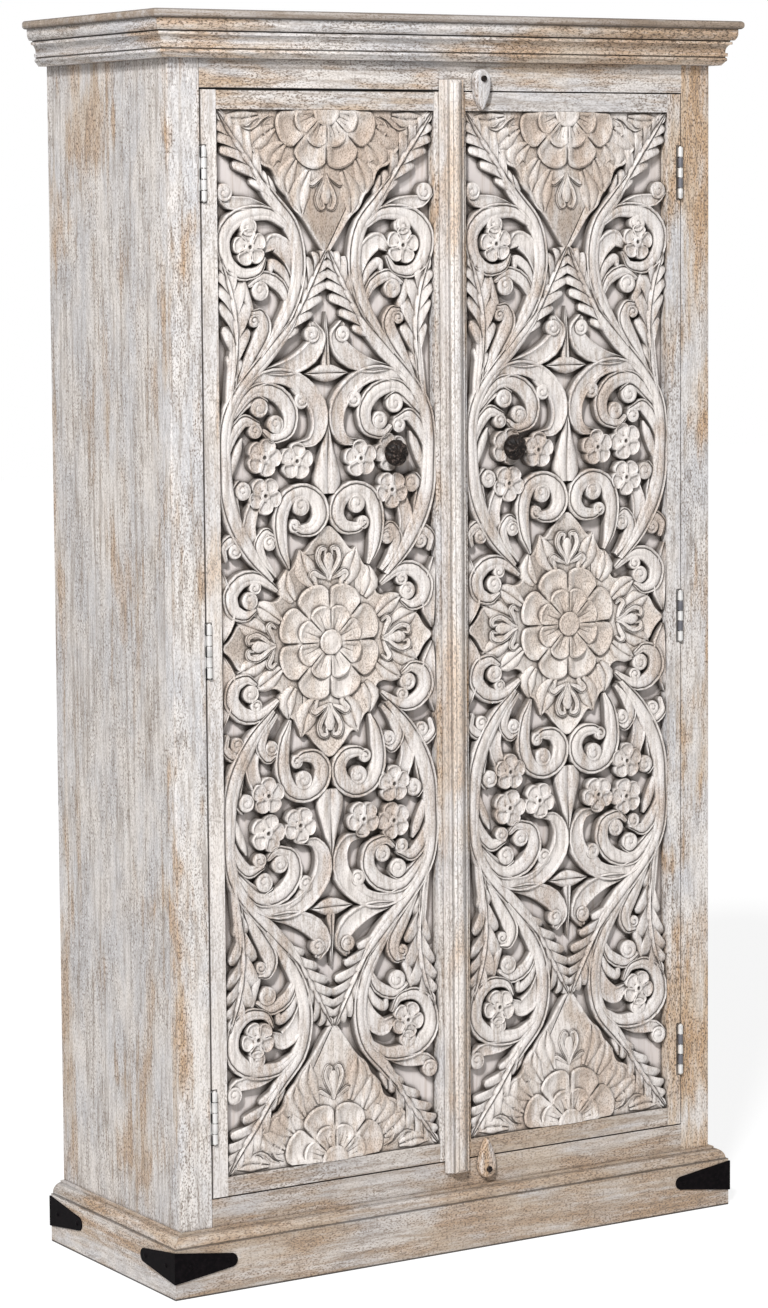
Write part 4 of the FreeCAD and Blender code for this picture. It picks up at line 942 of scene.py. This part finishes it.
# Knobs: place, rings (radius, height) and the swirl of their caps
KNOB_X = 102.2
KNOB_Z = 1178.6
KNOB_SEAT = -160.5
KNOB_RINGS = ((7.0, -2.0), (7.4, 2.0), (9.5, 6.0), (14.0, 9.0), (18.0, 11.4), (19.2, 13.6), (19.1, 15.8),
              (18.3, 18.0), (16.8, 20.3), (14.5, 22.4), (11.7, 24.0), (8.6, 25.2), (5.4, 26.0),
              (2.6, 26.3), (0.6, 26.4))
SWIRL_CUTS = 9
SWIRL_COLUMNS = SWIRL_CUTS * 10
SWIRL_TWIST = 0.42
SWIRL_DEPTH = 0.75


def carve_knob():
    """A turned knob whose cap is cut with curved flutes running in to the middle."""
    knob = Carving()
    lathe(knob, (0.0, 0.0), KNOB_RINGS, SWIRL_COLUMNS)
    points = knob.points[0]
    radius = np.hypot(points[:, 0], points[:, 1])
    angle = np.arctan2(points[:, 1], points[:, 0])
    cap = np.clip((points[:, 2] - 12.0) / 3.0, 0, 1) * np.clip((radius - 1.5) / 5.0, 0, 1)
    wave = np.cos(SWIRL_CUTS * angle + radius * SWIRL_TWIST)
    cut = SWIRL_DEPTH * cap * (np.abs(wave) ** 0.6 * np.sign(wave) - 1.0)
    points[:, 2] += cut
    points[:, :2] *= (1 + cut / np.maximum(radius, 4.0) * 0.6)[:, None]
    return knob


knob = carve_knob()
panel = carve_panel()
limits = np.array((PANEL_HALF_WIDTH, PANEL_HALF_HEIGHT, np.inf))
panel.points = [np.clip(points, -limits, limits) for points in panel.points]
for side, sign in (("left", -1), ("right", 1)):
    placed = stood(panel, FRONT, sign * PANEL_X, BACKING_Y, PANEL_Z)
    carved = make_piece(f"{side}_carving", placed, CARVED_WASH, f"{side}_door")
    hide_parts(f"{side}_door_carved_panel")
    placed = stood(knob, FRONT, sign * KNOB_X, KNOB_SEAT, KNOB_Z)
    turned = make_piece(f"{side}_swirl_knob", placed, KNOB_DARK, f"{side}_door")
    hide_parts(f"{side}_knob")

# Turn buttons: drops with a softened face, the lower one carved with a leaf
BUTTON_X = 51.0
BUTTON_BACK = -163.0
BUTTON_EDGE = ((0, -46), (4, -40), (8.5, -31), (12, -20), (14, -8), (13.4, 4), (8.5, 11.5), (0, 14),
               (-8.5, 11.5), (-13.4, 4), (-14, -8), (-12.5, -20), (-8, -32), (-3, -41))
BUTTON_STEPS = ((1.0, 0.0), (1.0, 7.4), (0.97, 8.9), (0.90, 10.1), (0.76, 10.7), (0.40, 10.9))
BUTTON_CENTRE = np.array((0.0, -10.0))
BUTTON_LEAF = ((-9, 6, 3), (-9, -6, 7), (-4, -20, 8), (1, -36, 2))
BUTTON_LEAF_HEIGHT = 12.0
# Which rail each is on, how high its pivot lies and which way up it stands
BUTTON_PIVOTS = (("top", 1711.0, 1), ("bottom", 113.0, -1))


def carve_button():
    """A drop-shaped turn button, its tip down, domed by stepping its outline in."""
    button = Carving()
    spread = smoothed(BUTTON_EDGE) - BUTTON_CENTRE
    button.stack([np.column_stack([BUTTON_CENTRE + spread * share, np.full(len(spread), h)])
                  for share, h in BUTTON_STEPS])
    return button


for level, pivot_z, way in BUTTON_PIVOTS:
    button = carve_button()
    if level == "bottom":
        ribbon(button, BUTTON_LEAF, CREASED, BUTTON_LEAF_HEIGHT, RAISED_FOOT)
    placed = stood(button, ((way, 0, 0), (0, 0, way), (0, -1, 0)), BUTTON_X, BUTTON_BACK, pivot_z)
    drop = make_piece(f"{level}_button_drop", placed, UPRIGHT_WASH, f"{level}_turn_button")
    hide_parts(f"{level}_turn_button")

# Hinges: five knuckles on a loose pin, leaves let into the edges
KNUCKLES = 5
KNUCKLE_RADIUS = 4.0
KNUCKLE_GAP = 0.6
KNUCKLE_EASE = 0.5
# The rounded end of a pin: in from the knuckle's radius, and out from its rim
PIN_END = ((1.6, 0.0), (1.7, 0.9), (2.6, 1.7), (3.7, 2.0))


def box_form(forms, low, high):
    """A thin plate between two corners."""
    (x0, y0, z0), (x1, y1, z1) = low, high
    forms.stack([[(x0, y0, z), (x1, y0, z), (x1, y1, z), (x0, y1, z)] for z in (z0, z1)])


def knuckle(forms, low, high, tip):
    """One rolled knuckle, its rims eased; the outer ones carry the pin's rounded end."""
    r = KNUCKLE_RADIUS
    ease = KNUCKLE_EASE
    rings = [(r - ease, low), (r, low + ease), (r, high - ease), (r - ease, high)]
    if tip > 0:
        rings += [(r - inset, high + reach) for inset, reach in PIN_END]
    if tip < 0:
        rings = [(r - inset, low - reach) for inset, reach in PIN_END[::-1]] + rings
    lathe(forms, (0.0, 0.0), rings)


def hinge_leaf(forms, centre, knuckles, plate_low, plate_high, finger):
    """A hinge leaf in the hinge's own place: the pin stands on the origin."""
    pitch = 2 * HINGE_HALF / KNUCKLES
    foot = centre - HINGE_HALF
    for k in knuckles:
        low = foot + k * pitch + KNUCKLE_GAP
        high = foot + (k + 1) * pitch - KNUCKLE_GAP
        knuckle(forms, low, high, 1 if k == KNUCKLES - 1 else -1 if k == 0 else 0)
        for low_corner, high_corner in finger:
            box_form(forms, (*low_corner, low), (*high_corner, high))
    box_form(forms, (*plate_low, foot), (*plate_high, centre + HINGE_HALF))


# Leaves seen from above, as corners (across, back) from the pin
CASE_PLATE = ((-5.5, 3.0), (-4.0, 21.0))
CASE_FINGERS = (((-5.5, 0.0), (-4.0, 3.2)), ((-5.5, 0.0), (-0.5, 1.5)))
DOOR_PLATE = ((-2.0, 4.3), (-0.5, 21.0))
DOOR_FINGERS = (((-2.0, 0.0), (-0.5, 4.5)),)
LEAF_KINDS = (("case", (0, 2, 4), CASE_PLATE, CASE_FINGERS), ("door", (1, 3), DOOR_PLATE, DOOR_FINGERS))
for side, sign in (("left", 1), ("right", -1)):
    for kind, knuckles, leaf_plate, fingers in LEAF_KINDS:
        node = f"hinge_{kind}_leaves_{side}"
        body = "case" if kind == "case" else f"{side}_door"
        forms = Carving()
        for centre in HINGE_CENTRES:
            hinge_leaf(forms, centre, knuckles, *leaf_plate, fingers)
        placed = stood(forms, np.diag((sign, 1, 1)), -sign * HINGE_X, HINGE_Y, 0)
        steel = HINGE_DULL if node == "hinge_door_leaves_right" else HINGE_STEEL
        piece = make_piece(f"{node}_detail", placed, steel, body)
        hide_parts(node)

# Nails in the iron brackets: rings (radius, height), and their places along the plinth from a corner
NAIL_RINGS = ((3.6, -0.6), (3.6, 0.3), (3.0, 1.0), (1.8, 1.5), (0.3, 1.7))
NAIL_COLUMNS = 14
NAIL_SPOTS = (24.0, 86.0)
NAIL_Z = 46.0
PLINTH_X = 484.0
PLINTH_FRONT = -184.0
PLINTH_BACK = 198.0
IRON_OUT = 2.0
nail = Carving()
lathe(nail, (0.0, 0.0), NAIL_RINGS, NAIL_COLUMNS)
nails = Carving()
for sign in (-1, 1):
    for y_corner, y_way in ((PLINTH_FRONT, 1), (PLINTH_BACK, -1)):
        for spot in NAIL_SPOTS:
            faced = (sign * (PLINTH_X - spot), y_corner - y_way * IRON_OUT, NAIL_Z)
            nails.take(nail, ((y_way, 0, 0), (0, 0, 1), (0, -y_way, 0)), faced)
            sided = (sign * (PLINTH_X + IRON_OUT), y_corner + y_way * spot, NAIL_Z)
            nails.take(nail, ((0, sign, 0), (0, 0, 1), (sign, 0, 0)), sided)
make_piece("bracket_nails", nails, IRON, "case")

# Boards lose their machine-sharp arrises: bevels in metres, by the first words of a piece's name
EASED = {"left_door": 0.0006, "right_door": 0.0006, "cornice": 0.0005, "plinth": 0.0008, "bracket": 0.0006,
         "hinge": 0.0, "meeting": 0.0010}
EASED_ELSE = 0.0013
EASED_FROM = math.radians(40)
WELD_GAP = 0.00002
for node_name, node_object in nodes.items():
    width = next((w for key, w in EASED.items() if node_name.startswith(key)), EASED_ELSE)
    if node_object.hide_render or not width or node_name.endswith(("nut", "screw")):
        continue
    weld = node_object.modifiers.new("joined", "WELD")
    weld.merge_threshold = WELD_GAP
    arris = node_object.modifiers.new("eased", "BEVEL")
    arris.width = width
    arris.segments = 2
    arris.limit_method = "ANGLE"
    arris.angle_limit = EASED_FROM
    arris.harden_normals = False

# Floor, light and camera
SUN_TURN = (math.radians(52), 0, math.radians(-44))
LAMP_PLACE = (-2.0, -2.2, 2.9)
LAMP_AIM = Vector((-0.1, -0.15, 1.1))
# The world is white to the camera and in gloss, and lights the rest by this much
FILL_STRENGTH = 0.17
# The camera, solved from straight edges of the cupboard
CAMERA_PLACE = (-3.02366, -4.83119, 1.52357)
YAW = math.radians(31.441)
PITCH = math.radians(-5.456)
ROLL = math.radians(-0.473)

bpy.ops.mesh.primitive_plane_add(size=30, location=(0, 0, 0))
floor = bpy.context.object
floor.name = "studio_floor"
paint(floor, studio_floor("floor_pale"))

sun = bpy.data.lights.new("key_light", "SUN")
sun.energy = 2.45
sun.angle = math.radians(5)
hung("key_light", sun).rotation_euler = SUN_TURN

lamp = bpy.data.lights.new("near_light", "AREA")
lamp.shape = "DISK"
lamp.size = 0.5
lamp.energy = 62
near = hung("near_light", lamp)
near.location = LAMP_PLACE
near.rotation_euler = (LAMP_AIM - near.location).to_track_quat("-Z", "Y").to_euler()

sky = Finish("studio_world", bpy.data.worlds)
eye_ray = sky.node("ShaderNodeLightPath", {}, {}, "Is Camera Ray")
gloss_ray = sky.node("ShaderNodeLightPath", {}, {}, "Is Glossy Ray")
strength = sky.node("ShaderNodeMapRange", {}, {"Value": eye_ray.over(gloss_ray), "To Min": FILL_STRENGTH,
                                               "To Max": 1.0})
background = sky.node("ShaderNodeBackground", {}, {"Color": (1, 1, 1, 1), "Strength": strength})
scene.world = sky.ended(background, "ShaderNodeOutputWorld")

camera_data = bpy.data.cameras.new("photo_camera")
camera_data.sensor_width = 36.0
camera_data.lens = 105.966
camera_data.shift_x = 0.02378
camera_data.shift_y = -0.05776
camera = hung("photo_camera", camera_data)
aim = Matrix.Rotation(-YAW, 4, "Z") @ Matrix.Rotation(math.pi / 2 + PITCH, 4, "X")
camera.matrix_world = Matrix.Translation(CAMERA_PLACE) @ aim @ Matrix.Rotation(ROLL, 4, "Z")
scene.camera = camera
scene.view_settings.view_transform = "Standard"
